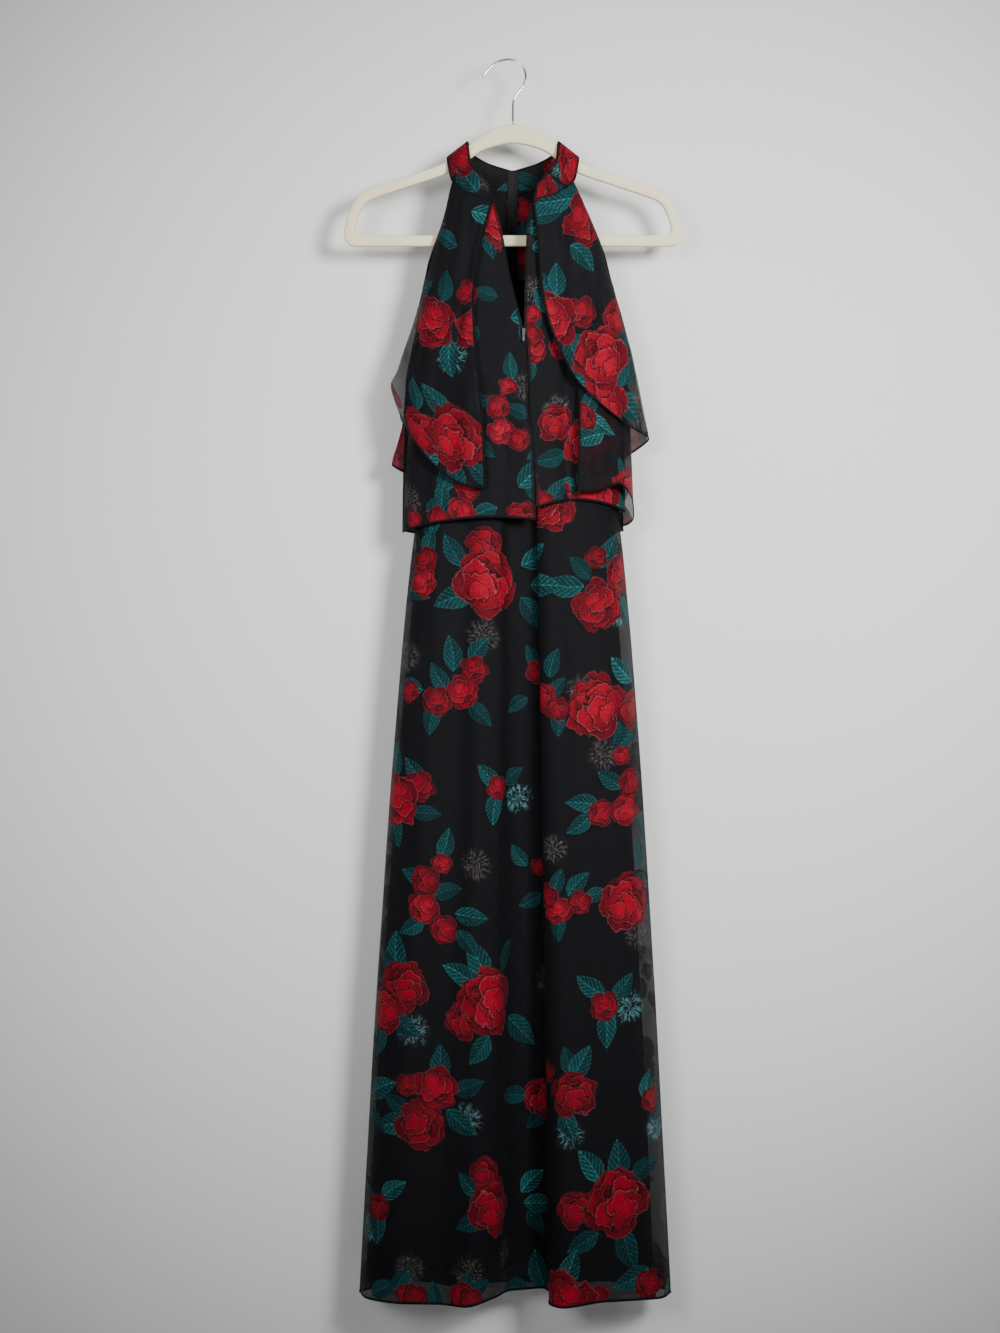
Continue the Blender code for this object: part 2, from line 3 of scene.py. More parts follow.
import bmesh
import bpy
import numpy as np
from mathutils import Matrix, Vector


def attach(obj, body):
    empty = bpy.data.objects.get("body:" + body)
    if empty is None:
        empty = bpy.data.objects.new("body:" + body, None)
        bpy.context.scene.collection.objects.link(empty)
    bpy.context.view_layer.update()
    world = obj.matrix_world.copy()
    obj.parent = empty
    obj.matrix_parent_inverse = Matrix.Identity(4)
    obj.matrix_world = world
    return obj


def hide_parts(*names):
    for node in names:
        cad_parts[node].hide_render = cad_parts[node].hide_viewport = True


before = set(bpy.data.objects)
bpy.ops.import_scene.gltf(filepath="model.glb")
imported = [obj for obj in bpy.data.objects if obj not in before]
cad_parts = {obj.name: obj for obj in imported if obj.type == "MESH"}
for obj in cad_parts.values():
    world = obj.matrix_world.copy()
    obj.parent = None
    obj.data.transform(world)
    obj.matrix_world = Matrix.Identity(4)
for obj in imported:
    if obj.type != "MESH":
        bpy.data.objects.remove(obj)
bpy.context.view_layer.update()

# Maxi dress on a hanger: the looks. Tables are in millimetres from the dress's
# centre line, the front faces -Y, and the hook's inner top is the origin.

ROOT = "dress"

MM = 0.001
CENTRE_X = 4.0
NECK_TUCK = 2.0            # panels run this far up inside the collar band
WAIST_Z = -560.0
HEM_Z = -1645.0
LINING_HEM_Z = -1622.0
FLARE = 0.68

# camera: straight on, at mid height
CAM_X, CAM_Y, CAM_Z = -13.35, -2800.0, -809.0
VIEW_TALL = 1779.6                    # millimetres seen, top to bottom, in the hanger's plane

# --------------------------------------------------------------- form tables
COLLAR = [
    ("front_edge", -32.0, -36.0, -172.0, -26.0, -38.0, -197.0),
    ("front",      -46.0, -31.0, -155.0, -57.0, -34.0, -187.0),
    ("front_side", -55.5, -19.0, -139.0, -81.0, -19.0, -166.0),
    ("arm_front",  -59.0,  -8.0, -114.0, -87.5, -8.0, -139.5),
    ("shoulder",   -59.5,   0.0, -107.6, -88.5,  0.0, -130.2),
    ("arm_back",   -58.0,   8.0, -112.0, -86.5,  8.0, -138.5),
    ("back_side",  -52.5,  19.0, -121.0, -80.0, 18.5, -160.0),
    ("back",       -32.0,  31.0, -130.0, -46.0, 32.5, -168.0),
    ("back_edge",   -3.6,  35.0, -138.0,  -3.6, 36.0, -170.0),
]
NECK_SHARE = 2.0 / 8.0
DEPTH = [
    (-160.0, 36.0, 40.5, 34.0, 38.5), (-205.0, 37.0, 42.0, 34.5, 40.0),
    (-250.0, 40.0, 48.0, 35.5, 44.0), (-330.0, 44.0, 54.0, 37.0, 47.0),
    (-410.0, 46.0, 58.0, 39.0, 50.0), (-480.0, 48.0, 60.0, 41.0, 52.0),
    (-560.0, 50.0, 62.0, 43.0, 54.0), (-660.0, 52.0, 64.0, 45.0, 56.0),
]
OUTLINE = [
    (-160.0,  -74.0,  76.0,  -81.0,  81.0), (-205.0,  -78.0,  86.0,  -89.0,  98.0),
    (-250.0,  -84.0,  97.0, -104.0, 118.0), (-330.0, -104.0, 121.0, -127.0, 142.0),
    (-410.0, -132.0, 144.0, -153.0, 163.0), (-432.0, -134.0, 145.5, -163.0, 168.0),
    (-483.0, -137.0, 147.5, -158.0, 177.0), (-510.0, -141.0, 149.0, -158.0, 183.0),
    (-560.0, -145.0, 150.5, -160.0, 181.0), (-660.0, -148.0, 148.0, -160.0, 181.0),
]
EDGE = [
    (-160.0, 16.0, 18.0), (-205.0, 15.0, 15.5), (-262.0, 12.0, 12.0), (-300.0, 10.0, 0.35),
    (-400.0, 1.5, 0.35), (-412.0, 0.35, 0.35), (-660.0, 0.35, 0.35),
]
# panels: inner edge x z, outer edge x z, sag
BODICE_FRONT_LEFT = [
    (-26.0, -199.0,  -77.0, -168.0, 0.0), (-20.0, -216.0,  -79.0, -205.0, 0.0),
    (-13.0, -243.0,  -84.0, -250.0, 0.0), (-4.0, -294.0, -103.0, -328.0, 0.0),
    (13.0, -363.0, -122.0, -380.0, 0.0), (18.5, -395.0, -132.0, -412.0, 0.0),
    (20.5, -475.0, -137.0, -483.0, 0.0), (26.0, -524.0, -142.5, -530.0, 0.0),
    (29.8, -618.0, -147.0, -631.0, 9.0),
]
BODICE_FRONT_RIGHT = [
    (22.0, -199.0,   80.0, -168.0, 0.0), (19.0, -218.0,   86.0, -205.0, 0.0),
    (17.2, -243.0,   97.0, -250.0, 0.0), (15.6, -300.0,  120.5, -328.0, 0.0),
    (14.2, -363.0,  136.0, -382.0, 0.0), (19.3, -395.0,  144.5, -412.0, 0.0),
    (21.3, -475.0,  147.5, -483.0, 0.0), (26.8, -524.0,  149.5, -530.0, 0.0),
    (30.6, -602.0,  149.0, -604.0, 12.0),
]
BODICE_BACK = [
    (3.6, -172.0,   76.0, -163.0, 0.0), (3.6, -230.0,   85.0, -205.0, 0.0),
    (3.6, -320.0,  106.0, -300.0, 0.0), (3.6, -420.0,  139.0, -412.0, 0.0),
    (3.6, -530.0,  146.0, -530.0, 0.0), (3.6, -624.0,  148.0, -628.0, -6.0),
]
CAPE_FRONT_LEFT = [
    (-28.0, -200.0,  -82.0, -170.0, 0.0), (-38.5, -242.0,  -93.0, -215.0, -4.0),
    (-46.0, -282.0, -113.0, -272.0, -6.0), (-51.0, -325.0, -128.0, -334.0, -4.0),
    (-48.0, -395.0, -153.0, -410.0, 0.0), (-43.5, -440.0, -163.0, -432.0, -4.0),
    (-38.0, -500.0, -158.8, -452.0, -16.0), (-35.5, -576.0, -147.0, -486.0, -26.0),
]
CAPE_FRONT_RIGHT = [
    (24.0, -200.0,   82.0, -170.0, 0.0), (31.0, -246.0,   99.0, -205.0, -4.0),
    (36.0, -312.0,  121.0, -258.0, -4.0), (45.0, -356.0,  138.0, -318.0, 0.0),
    (58.0, -390.0,  153.0, -370.0, 0.0), (74.0, -422.0,  167.0, -430.0, 0.0),
    (91.0, -443.0,  182.6, -506.0, -7.0),
]
CAPE_BACK_LEFT = [
    (5.6, -172.0,   81.0, -163.0, 0.0), (5.6, -225.0,   94.0, -218.0, 0.0),
    (5.6, -300.0,  110.0, -272.0, 0.0), (5.6, -390.0,  141.0, -405.0, 0.0),
    (5.6, -430.0,  145.0, -440.0, 0.0), (5.6, -480.0,  149.0, -486.0, -8.0),
    (5.6, -545.0,  163.0, -541.0, -18.0),
]
CAPE_BACK_RIGHT = [
    (5.6, -172.0,   81.0, -163.0, 0.0), (5.6, -225.0,   98.0, -205.0, 0.0),
    (5.6, -300.0,  121.0, -258.0, 0.0), (5.6, -390.0,  153.0, -370.0, 0.0),
    (5.6, -470.0,  174.0, -470.0, 0.0), (5.6, -552.0,  182.6, -507.0, -22.0),
]
CASCADE = [
    ("front_fold",  86.0, -46.5, -428.0,  84.5, -55.0, -580.0),
    ("front",      112.0, -40.0, -433.0, 112.0, -53.0, -579.0),
    ("turn",       136.0, -28.0, -438.0, 140.0, -45.0, -570.0),
    ("side_front", 152.0, -14.0, -443.0, 157.0, -24.0, -586.0),
    ("side",       155.0,   1.0, -447.0, 161.5,   2.0, -611.0),
    ("side_back",  150.0,  13.0, -450.0, 154.0,  20.0, -619.0),
    ("back_fold",  141.0,  21.0, -453.0, 139.0,  34.0, -622.0),
]
# plan tables: waist x y, hem x y
SKIRT_FRONT = [
    (-118.0,  -0.3, -205.0,  -0.3), (-110.0, -19.0, -194.0, -27.0), (-84.0, -32.0, -155.0, -49.0),
    (-56.0, -32.0,  -96.0, -41.0), (-36.0, -36.0,  -58.0, -56.0), (-13.0, -35.0,  -23.0, -43.0),
    (-3.0, -30.0,   -7.0,  -2.0), (10.0, -27.0,   16.0,  13.0), (23.0, -27.0,   41.0,   7.0),
    (28.5, -31.0,   49.5, -15.0), (29.0, -37.0,   47.5, -40.0), (44.0, -40.0,   68.0, -57.0),
    (82.0, -36.0,  120.0, -54.0), (119.0, -21.0,  192.0, -32.0), (131.0,  -0.3,  211.0,  -0.3),
]
LINING_FRONT = [
    (-110.0,  -0.6, -196.0,  -0.6), (-101.0, -14.0, -184.0, -21.0), (-80.0, -23.0, -148.0, -39.0),
    (-57.0, -23.0,  -99.0, -31.0), (-38.0, -27.0,  -62.0, -44.0), (-16.0, -25.0,  -36.0, -35.0),
    (-6.0, -21.0,  -18.0,   4.0), (10.0, -19.0,   16.0,  22.0), (24.0, -19.0,   50.0,  16.0),
    (31.0, -21.0,   60.0,  -9.0), (36.0, -25.0,   62.0, -31.0), (48.0, -29.0,   76.0, -46.0),
    (80.0, -26.0,  116.0, -43.0), (108.0, -15.0,  172.0, -24.0), (119.0,  -0.6,  188.0,  -0.6),
]
SKIRT_BACK = [
    (-118.0,   0.3, -205.0,   0.3), (-110.0,  17.0, -192.0,  26.0), (-84.0,  29.0, -150.0,  46.0),
    (-56.0,  31.0,  -98.0,  42.0), (-30.0,  34.0,  -52.0,  58.0), (2.0,  32.0,    4.0,  50.0),
    (36.0,  34.0,   60.0,  58.0), (62.0,  31.0,  104.0,  43.0), (92.0,  28.0,  156.0,  46.0),
    (122.0,  16.0,  198.0,  26.0), (131.0,   0.3,  211.0,   0.3),
]
LINING_BACK = [
    (-110.0,   0.6, -196.0,   0.6), (-101.0,  11.0, -182.0,  17.0), (-78.0,  20.0, -144.0,  32.0),
    (-32.0,  23.0,  -54.0,  36.0), (2.0,  22.0,    4.0,  35.0), (38.0,  23.0,   60.0,  36.0),
    (86.0,  19.0,  136.0,  32.0), (110.0,  11.0,  176.0,  16.0), (119.0,   0.6,  188.0,   0.6),
]
# hanger, right half: outer x z, inner x z
HANGER = [
    (0.0,  -85.0,   0.0, -111.0), (22.0,  -89.5,  17.0, -113.0), (50.0, -106.5,  43.5, -122.0),
    (87.0, -135.0,  82.0, -148.5), (140.0, -154.5, 136.5, -168.0), (190.0, -170.0, 183.5, -184.0),
    (209.5, -184.0, 198.5, -193.0), (221.5, -210.0, 208.0, -213.0), (225.5, -233.0, 210.5, -227.0),
    (220.0, -245.0, 205.0, -233.6), (206.0, -248.4, 190.0, -233.6), (100.0, -248.4, 100.0, -233.6),
    (0.0, -248.4,   0.0, -233.6),
]
HOOK = [
    (-35.5, -20.5), (-30.0, -13.5), (-23.0, -6.2), (-13.0, -0.4), (0.0, 1.6),
    (11.0, -2.2), (18.6, -11.0), (21.0, -22.5), (17.5, -34.5), (10.5, -43.5),
    (5.5, -51.5), (4.0, -61.0), (4.0, -84.4),
]

# Soft creases: x z at one end, x z at the other, width, depth (+ is a trough)
CREASES = {
    "skirt_front": [
        (-6, -600, -14, -800, 6, 3.2), (-104, -640, -150, -1120, 12, 2.6), (-72, -880, -94, -1560, 15, -2.2),
        (-30, -690, -42, -1240, 9, 1.8), (66, -690, 92, -1380, 13, 2.4), (98, -620, 150, -1230, 12, -2.2),
        (122, -900, 168, -1610, 16, 2.2), (52, -620, 64, -960, 7, 1.8), (-128, -760, -176, -1480, 10, -1.6),
        (84, -1150, 112, -1640, 9, 1.8), (-52, -1180, -60, -1640, 8, 1.6), (108, -640, 122, -820, 6, 1.6),
        (-86, -622, -92, -760, 6, 2.0), (76, -604, 80, -720, 5, 1.6),
    ],
    "skirt_back_left": [
        (-36, -600, -60, -1300, 10, 2.4), (-90, -640, -140, -1250, 12, -2.2), (-64, -900, -84, -1620, 10, 2.0),
        (-112, -760, -166, -1560, 10, 1.8), (-20, -620, -24, -980, 7, 1.8),
    ],
    "skirt_back_right": [
        (30, -610, 48, -1180, 10, 2.4), (84, -640, 128, -1400, 12, 2.2), (60, -860, 92, -1600, 11, -2.0),
        (110, -700, 170, -1500, 10, -1.8), (18, -640, 22, -1100, 7, 1.6),
    ],
    "lining_front": [(-100, -700, -140, -1560, 14, 2.0), (80, -700, 110, -1600, 14, 2.2),
                     (-40, -900, -56, -1600, 10, -1.8), (120, -900, 150, -1600, 12, -2.0)],
    "lining_back": [(-90, -700, -120, -1560, 14, 2.0), (60, -800, 84, -1600, 12, -2.0)],
    "bodice_front_left": [
        (-2, -380, -6, -560, 6, 1.8), (-44, -420, -52, -600, 8, 2.2), (-100, -440, -118, -620, 9, 2.0),
        (-12, -500, -16, -618, 5, 1.6), (-70, -560, -76, -622, 6, 2.2), (8, -420, 14, -600, 5, -1.4),
    ],
    "bodice_front_right": [(74, -385, 76, -600, 9, 9.0), 
        (40, -400, 46, -590, 6, 1.8), (60, -300, 62, -560, 9, 3.0), (78, -360, 80, -600, 7, 2.4),
        (110, -430, 118, -600, 9, 2.0), (30, -470, 36, -596, 4, 1.4),
    ],
    "bodice_back_left": [(-40, -300, -48, -600, 10, 2.0), (-96, -430, -112, -610, 10, 2.0), (-18, -440, -22, -600, 6, 1.5)],
    "bodice_back_right": [(36, -320, 44, -600, 10, 2.0), (92, -420, 110, -610, 10, 2.0), (20, -460, 22, -590, 6, 1.5)],
    "cape_front_left": [
        (-66, -330, -79, -425, 5, 3.6), (-58, -200, -68, -330, 6, 2.4), (-44, -215, -60, -300, 4, 1.6),
        (-78, -190, -104, -380, 7, 2.2), (-96, -380, -108, -500, 7, 2.2), (-60, -430, -66, -560, 8, -2.4),
        (-126, -370, -134, -470, 7, 2.2), (-70, -185, -84, -250, 4, 1.4), (-48, -470, -50, -575, 5, 2.0),
        (-112, -300, -124, -380, 6, -1.6),
    ],
    "cape_front_right": [
        (66, -215, 69, -385, 7, 4.0), (48, -205, 56, -330, 5, 1.8), (82, -210, 104, -400, 7, -2.2),
        (90, -240, 120, -455, 6, 2.4), (112, -300, 144, -480, 7, 2.0), (60, -195, 70, -260, 4, 1.4),
        (132, -380, 158, -495, 6, 2.0), (74, -190, 88, -250, 4, 1.5),
    ],
    "cape_back_left": [
        (-34, -190, -44, -520, 9, 2.6), (-62, -200, -92, -500, 9, 2.4), (-20, -230, -24, -500, 6, 1.8),
        (-84, -240, -128, -480, 8, -2.2), (-110, -340, -140, -530, 7, 2.0),
    ],
    "cape_back_right": [
        (30, -200, 40, -540, 9, 2.6), (58, -190, 84, -500, 9, 2.4), (18, -260, 22, -520, 6, 1.8),
        (80, -230, 130, -500, 8, -2.2), (120, -330, 156, -500, 7, 2.0),
    ],
    "cascade_right": [(98, -440, 100, -575, 6, 2.2), (126, -445, 130, -575, 5, 2.0), (112, -500, 114, -578, 5, -1.6)],
    "collar_left": [(-60, -165, -66, -184, 4, 0.8), (-44, -168, -50, -188, 4, 0.7)],
    "collar_right": [(58, -165, 64, -184, 4, 0.8), (42, -168, 48, -188, 4, 0.7)],
}

# The print: four bouquets, repeated over the cloth in half-drop rows, each one
# turned, flipped and resized a little. Every motif is drawn by the shaders.
# Columns: kind, across, up, radius (a leaf's half length), turn, brightness.
BOUQUETS = {
    "full": [
        ("rose", 0, 0, 38, 10, 0.85), ("rose", -40, 24, 22, -20, 0.50), ("leaf", 34, 36, 24, 50, 0.42),
        ("leaf", 50, 8, 20, -10, 0.30), ("leaf", -20, -46, 24, -110, 0.36), ("leaf", -54, -10, 20, 170, 0.24),
        ("leaf", 6, 52, 22, 85, 0.55), ("spray", 44, -34, 21, 0, 0.30),
    ],
    "pair": [
        ("rose", -20, 8, 26, 15, 0.75), ("rose", 25, -12, 30, -25, 0.60), ("rose", 4, 34, 14, 40, 0.30),
        ("leaf", -44, 28, 22, 140, 0.35), ("leaf", -46, -12, 20, 200, 0.25), ("leaf", -8, -36, 22, -100, 0.40),
        ("leaf", 52, 16, 24, 30, 0.45), ("leaf", 30, 34, 18, 70, 0.28), ("spray", -16, -44, 20, 0, 0.75),
    ],
    "cluster": [
        ("rose", -35, -8, 16, 15, 0.60), ("rose", -9, -21, 19, -10, 0.85), ("rose", 19, -9, 17, 25, 0.45),
        ("rose", 37, 17, 12, -30, 0.70), ("leaf", -57, 4, 18, 165, 0.35), ("leaf", -30, 18, 20, 120, 0.40),
        ("leaf", 1, 9, 18, 95, 0.30), ("leaf", 55, 32, 18, 40, 0.38), ("leaf", -15, -50, 18, -100, 0.28),
        ("leaf", 37, -25, 18, -40, 0.30), ("spray", 23, 39, 20, 0, 0.40),
    ],
    "sprig": [
        ("rose", 0, 0, 17, 0, 0.50), ("leaf", 18, 16, 20, 40, 0.60), ("leaf", -17, 15, 18, 135, 0.30),
        ("leaf", 4, -26, 22, -85, 0.40), ("spray", -25, -16, 21, 0, 0.80),
    ],
}
BOUQUET_PITCH = (158.0, 138.0)
# Where each piece was cut from the printed cloth: seed, shift across, shift up.
CUT_FROM = {
    "skirt_front": (3, 0, 0), "skirt_back": (5, 30, 18), "bodice_front_left": (8, 14, 40),
    "bodice_front_right": (13, -22, 8), "bodice_back": (21, 6, -30), "cape_front_left": (34, 26, 12),
    "cape_front_right": (55, -10, 34), "cape_back": (89, 18, -16), "cascade_right": (144, -30, 22),
    "collar_left": (233, 8, 0), "collar_right": (377, -16, 14),
}


def lay_print(piece):
    """The bouquets that fall on one piece, as rows of place, size and light."""
    seed, shift_x, shift_z = CUT_FROM[piece]
    rng = np.random.default_rng(seed)
    names = ["full", "pair", "cluster", "sprig"]
    low, high = (-1680.0, -560.0) if piece.startswith("skirt") else (-660.0, -90.0)
    table = {"rose": [], "leaf": [], "spray": []}
    row = 0
    z = high + shift_z
    while z > low:
        x = -260.0 + shift_x + (row % 2) * BOUQUET_PITCH[0] / 2
        while x < 260.0:
            bouquet = BOUQUETS[names[int(rng.choice(4, p=(0.30, 0.25, 0.22, 0.23)))]]
            side = rng.choice((-1.0, 1.0))
            size = rng.uniform(0.98, 1.24)
            lean = rng.uniform(-70.0, 70.0)
            cx, cz = x + rng.uniform(-12, 12), z + rng.uniform(-12, 12)
            c, s = math.cos(math.radians(lean)), math.sin(math.radians(lean))
            for kind, across, up, radius, turn, tint in bouquet:
                dx, dz = side * across * size, up * size
                heading = (180.0 - turn if side < 0 else turn) + lean
                table[kind].append((cx + c * dx - s * dz, cz + s * dx + c * dz, radius * size, heading,
                                    min(0.95, max(0.08, tint + rng.uniform(-0.16, 0.10)))))
            x += BOUQUET_PITCH[0]
        z -= BOUQUET_PITCH[1]
        row += 1
    return table


# ------------------------------------------------------------ surface tools
def table_at(table, key, column):
    """A column's value at each height, between the table's rows (z falls)."""
    rows = np.array(table)
    z = np.clip(np.asarray(key, float), rows[-1, 0], rows[0, 0])
    i = np.clip(np.searchsorted(-rows[:, 0], -z, side="right") - 1, 0, len(rows) - 2)
    t = (rows[i, 0] - z) / (rows[i, 0] - rows[i + 1, 0])
    t = t * t * (3.0 - 2.0 * t) * 0.5 + t * 0.5
    col = np.asarray(column)
    a = rows[i, col]
    b = rows[i + 1, col]
    return a + (b - a) * t


def spline(points, t):
    """Points at each t in 0..1 along a soft curve through the rows."""
    p = np.array(points, float)
    spans = len(p) - 1
    place = np.clip(np.asarray(t, float), 0.0, 1.0) * spans
    i = np.minimum(place.astype(int), spans - 1)
    f = (place - i)[..., None]
    ext = np.vstack([2 * p[0] - p[1], p, 2 * p[-1] - p[-2]])
    a, b, c, d = ext[i], ext[i + 1], ext[i + 2], ext[i + 3]
    m1, m2 = 0.42 * (c - a), 0.42 * (d - b)
    return ((2 * f ** 3 - 3 * f ** 2 + 1) * b + (f ** 3 - 2 * f ** 2 + f) * m1
            + (3 * f ** 2 - 2 * f ** 3) * c + (f ** 3 - f ** 2) * m2)


def layer_y(x, z, layer, facing):
    col = np.where(x < 0, 1, 2) + 2 * layer
    half = np.abs(table_at(OUTLINE, z, col))
    centre = table_at(DEPTH, z, 1 + layer + (0 if facing < 0 else 2))
    edge = table_at(EDGE, z, 1 + layer)
    reach = np.minimum(np.abs(x) / half, 1.0)
    return facing * (edge + (centre - edge) * (1.0 - reach ** 2.8) ** 0.55)


def panel(table, across, down, layer, facing, side, folds=()):
    """Grid of a bodice or cape panel, inner edge to outer edge, neck to hem."""
    v = np.linspace(0, 1, down)[:, None]
    u = np.linspace(0, 1, across)[None, :]
    rows = spline(table, v[:, 0])
    xi, zi, xo, zo, sag = [rows[:, k][:, None] for k in range(5)]
    if facing > 0:
        xi, xo = side * xi, side * xo
    w = np.sin(u * math.pi / 2) ** 0.9
    x = xi + (xo - xi) * w
    z = zi + (zo - zi) * w + sag * 4.0 * w * (1.0 - w)
    near = np.maximum(0.0, 1.0 - v / 0.16)
    share = w * NECK_SHARE if facing < 0 else 1.0 - w * NECK_SHARE
    seam = spline([row[4:7] for row in COLLAR], share[0])[None, :, :]
    x = x + near * (side * np.abs(seam[..., 0]) * 0.985 - x)
    z = z + near * (seam[..., 2] + NECK_TUCK - (zi + (zo - zi) * w))
    y = layer_y(x, z, layer, facing)
    under = seam[..., 1] + facing * (0.5 if layer else -0.5)
    y = y + smooth(near) * (under - y)
    for place, width, deep, top in folds:
        fade = np.clip((top - z) / 60.0, 0.0, 1.0)
        y = y - facing * deep * fade * np.exp(-((u - place) / width) ** 2)
    return np.stack([x, y, z], axis=-1)


def round_corner(grid, across, down):
    """Rounds a panel's outer bottom corner over these shares of its width and length."""
    rows, cols = grid.shape[:2]
    v, u = np.meshgrid(np.linspace(0, 1, rows), np.linspace(0, 1, cols), indexing="ij")
    du = np.maximum(0.0, (u - 1.0 + across) / across)
    dv = np.maximum(0.0, (v - 1.0 + down) / down)
    far = np.hypot(du, dv)
    pull = np.where(far > 0, np.maximum(du, dv) / np.maximum(far, 1e-9), 1.0)
    u = np.where(du > 0, 1.0 - across + across * du * pull, u) * (cols - 1)
    v = np.where(dv > 0, 1.0 - down + down * dv * pull, v) * (rows - 1)
    i = np.minimum(v.astype(int), rows - 2)
    j = np.minimum(u.astype(int), cols - 2)
    a, b = (v - i)[..., None], (u - j)[..., None]
    return ((grid[i, j] * (1 - b) + grid[i, j + 1] * b) * (1 - a)
            + (grid[i + 1, j] * (1 - b) + grid[i + 1, j + 1] * b) * a)


def gown(table, across, down, hem_z, wave=None):
    f = np.linspace(0, 1, down)
    share = f ** FLARE
    z = WAIST_Z + (hem_z - WAIST_Z) * f
    t = np.array(table, float)
    u = np.linspace(0, 1, across)
    grid = np.zeros((down, across, 3))
    for r in range(down):
        plan = t[:, 0:2] + (t[:, 2:4] - t[:, 0:2]) * share[r]
        grid[r, :, 0:2] = spline(plan, u)
        grid[r, :, 2] = z[r]
    if wave is not None:
        drop = spline(np.array(wave, float)[:, None], u)[:, 0]
        grid[..., 2] += drop[None, :] * (f[:, None] ** 6)
    return grid


def ruled(table, across, down, mirror=1.0):
    top = [(mirror * r[1], r[2], r[3]) for r in table]
    low = [(mirror * r[4], r[5], r[6]) for r in table]
    u = np.linspace(0, 1, across)
    v = np.linspace(0, 1, down)[:, None, None]
    a, b = spline(top, u)[None], spline(low, u)[None]
    return a + (b - a) * v


def normals(grid):
    across = np.gradient(grid, axis=1)
    down = np.gradient(grid, axis=0)
    n = np.cross(across, down)
    length = np.linalg.norm(n, axis=-1, keepdims=True)
    return n / np.maximum(length, 1e-9)


def smooth(a):
    return a * a * (3.0 - 2.0 * a)


def outward(grid, centre_y=0.0):
    """Unit normals that point away from the inside of the dress."""
    n = normals(grid)
    flip = np.sign(np.sum(n[..., 1] * (grid[..., 1] - centre_y)))
    return n if flip >= 0 else -n


def crease(grid, rows):
    """Presses soft troughs and ridges into a grid along straight lines."""
    n = outward(grid)
    x, z = grid[..., 0], grid[..., 2]
    depth = np.zeros_like(x)
    for k, (x0, z0, x1, z1, width, deep) in enumerate(rows):
        dx, dz = x1 - x0, z1 - z0
        length = math.hypot(dx, dz)
        along = ((x - x0) * dx + (z - z0) * dz) / length ** 2
        bow = 0.05 * length * np.sin(np.clip(along, 0, 1) * math.pi) * (1 if k % 2 else -1) * 0.35
        off = ((x - x0) * dz - (z - z0) * dx) / length + bow
        wide = width * (1.0 + 0.45 * np.clip(along, 0, 1))
        ends = smooth(np.clip(along / 0.22 + 0.15, 0, 1)) * smooth(np.clip((1.12 - along) / 0.3, 0, 1))
        depth += deep * ends * np.exp(-(off / wide) ** 2)
    return grid - n * depth[..., None]


def rumple(grid, size, seed):
    """A slight unevenness, as hanging cloth has."""
    x, z = grid[..., 0], grid[..., 2]
    n = outward(grid)
    bump = (np.sin(x / 23.0 + z / 140.0 + seed) * 0.5
            + np.sin(x / 11.0 - z / 90.0 + seed * 2.3) * 0.28
            + np.sin(z / 46.0 + x / 60.0 + seed * 1.7) * 0.3
            + np.sin(x / 6.1 + z / 210.0 + seed * 3.1) * 0.12)
    return grid + n * (bump * size)[..., None]


# --------------------------------------------------------------- mesh making
LAYERS = ("rose_a", "rose_b", "leaf_a", "leaf_b", "spray_a")
EMPTY = 9.0


def seen_from_front(p):
    """Where a point falls in the hanger's plane, as the camera sees it."""
    far = -CAM_Y / (-CAM_Y + p[..., 1])
    cx = CAM_X - CENTRE_X
    return cx + (p[..., 0] - cx) * far, CAM_Z + (p[..., 2] - CAM_Z) * far


def lengths(grid):
    """Cloth coordinates in mm: across the rows and down the columns."""
    step = np.linalg.norm(np.diff(grid, axis=1), axis=-1)
    s = np.concatenate([np.zeros((grid.shape[0], 1)), np.cumsum(step, axis=1)], axis=1)
    middle = grid.shape[1] // 2
    s = s - s[:, middle:middle + 1]
    step = np.linalg.norm(np.diff(grid, axis=0), axis=-1)
    t = np.concatenate([np.zeros((1, grid.shape[1])), np.cumsum(step, axis=0)], axis=0)
    return s, t


def hem_distance(grid, sides):
    """Distance in mm to the nearest hemmed side, and the run along it."""
    step_u = np.linalg.norm(np.diff(grid, axis=1), axis=-1)
    step_v = np.linalg.norm(np.diff(grid, axis=0), axis=-1)
    zero_u = np.zeros((grid.shape[0], 1))
    zero_v = np.zeros((1, grid.shape[1]))
    from_left = np.concatenate([zero_u, np.cumsum(step_u, axis=1)], axis=1)
    from_top = np.concatenate([zero_v, np.cumsum(step_v, axis=0)], axis=0)
    table = {"inner": from_left, "outer": from_left[:, -1:] - from_left,
             "top": from_top, "bottom": from_top[-1:] - from_top}
    run = {"inner": from_top, "outer": from_top, "top": from_left, "bottom": from_left}
    best = np.full(grid.shape[:2], 999.0)
    along = np.zeros(grid.shape[:2])
    for side in sides:
        closer = table[side] < best
        best = np.where(closer, table[side], best)
        along = np.where(closer, run[side], along)
    return best, along


def mesh_from(name, points, quads):
    mesh = bpy.data.meshes.new(name)
    mesh.vertices.add(len(points))
    mesh.vertices.foreach_set("co", np.ascontiguousarray(points, dtype=np.float32).ravel())
    mesh.loops.add(quads.size)
    mesh.loops.foreach_set("vertex_index", quads.astype(np.int32).ravel())
    mesh.polygons.add(len(quads))
    mesh.polygons.foreach_set("loop_start", np.arange(0, quads.size, 4, dtype=np.int32))
    mesh.update(calc_edges=True)
    mesh.validate()
    mesh.shade_smooth()
    return mesh


def grid_quads(rows, cols, start=0):
    i = np.arange(rows - 1)[:, None] * cols + np.arange(cols - 1)[None, :] + start
    return np.stack([i, i + cols, i + cols + 1, i + 1], axis=-1).reshape(-1, 4)


def write_point(mesh, name, values):
    mesh.attributes.new(name, "FLOAT", "POINT").data.foreach_set(
        "value", np.ascontiguousarray(values, dtype=np.float32).ravel())


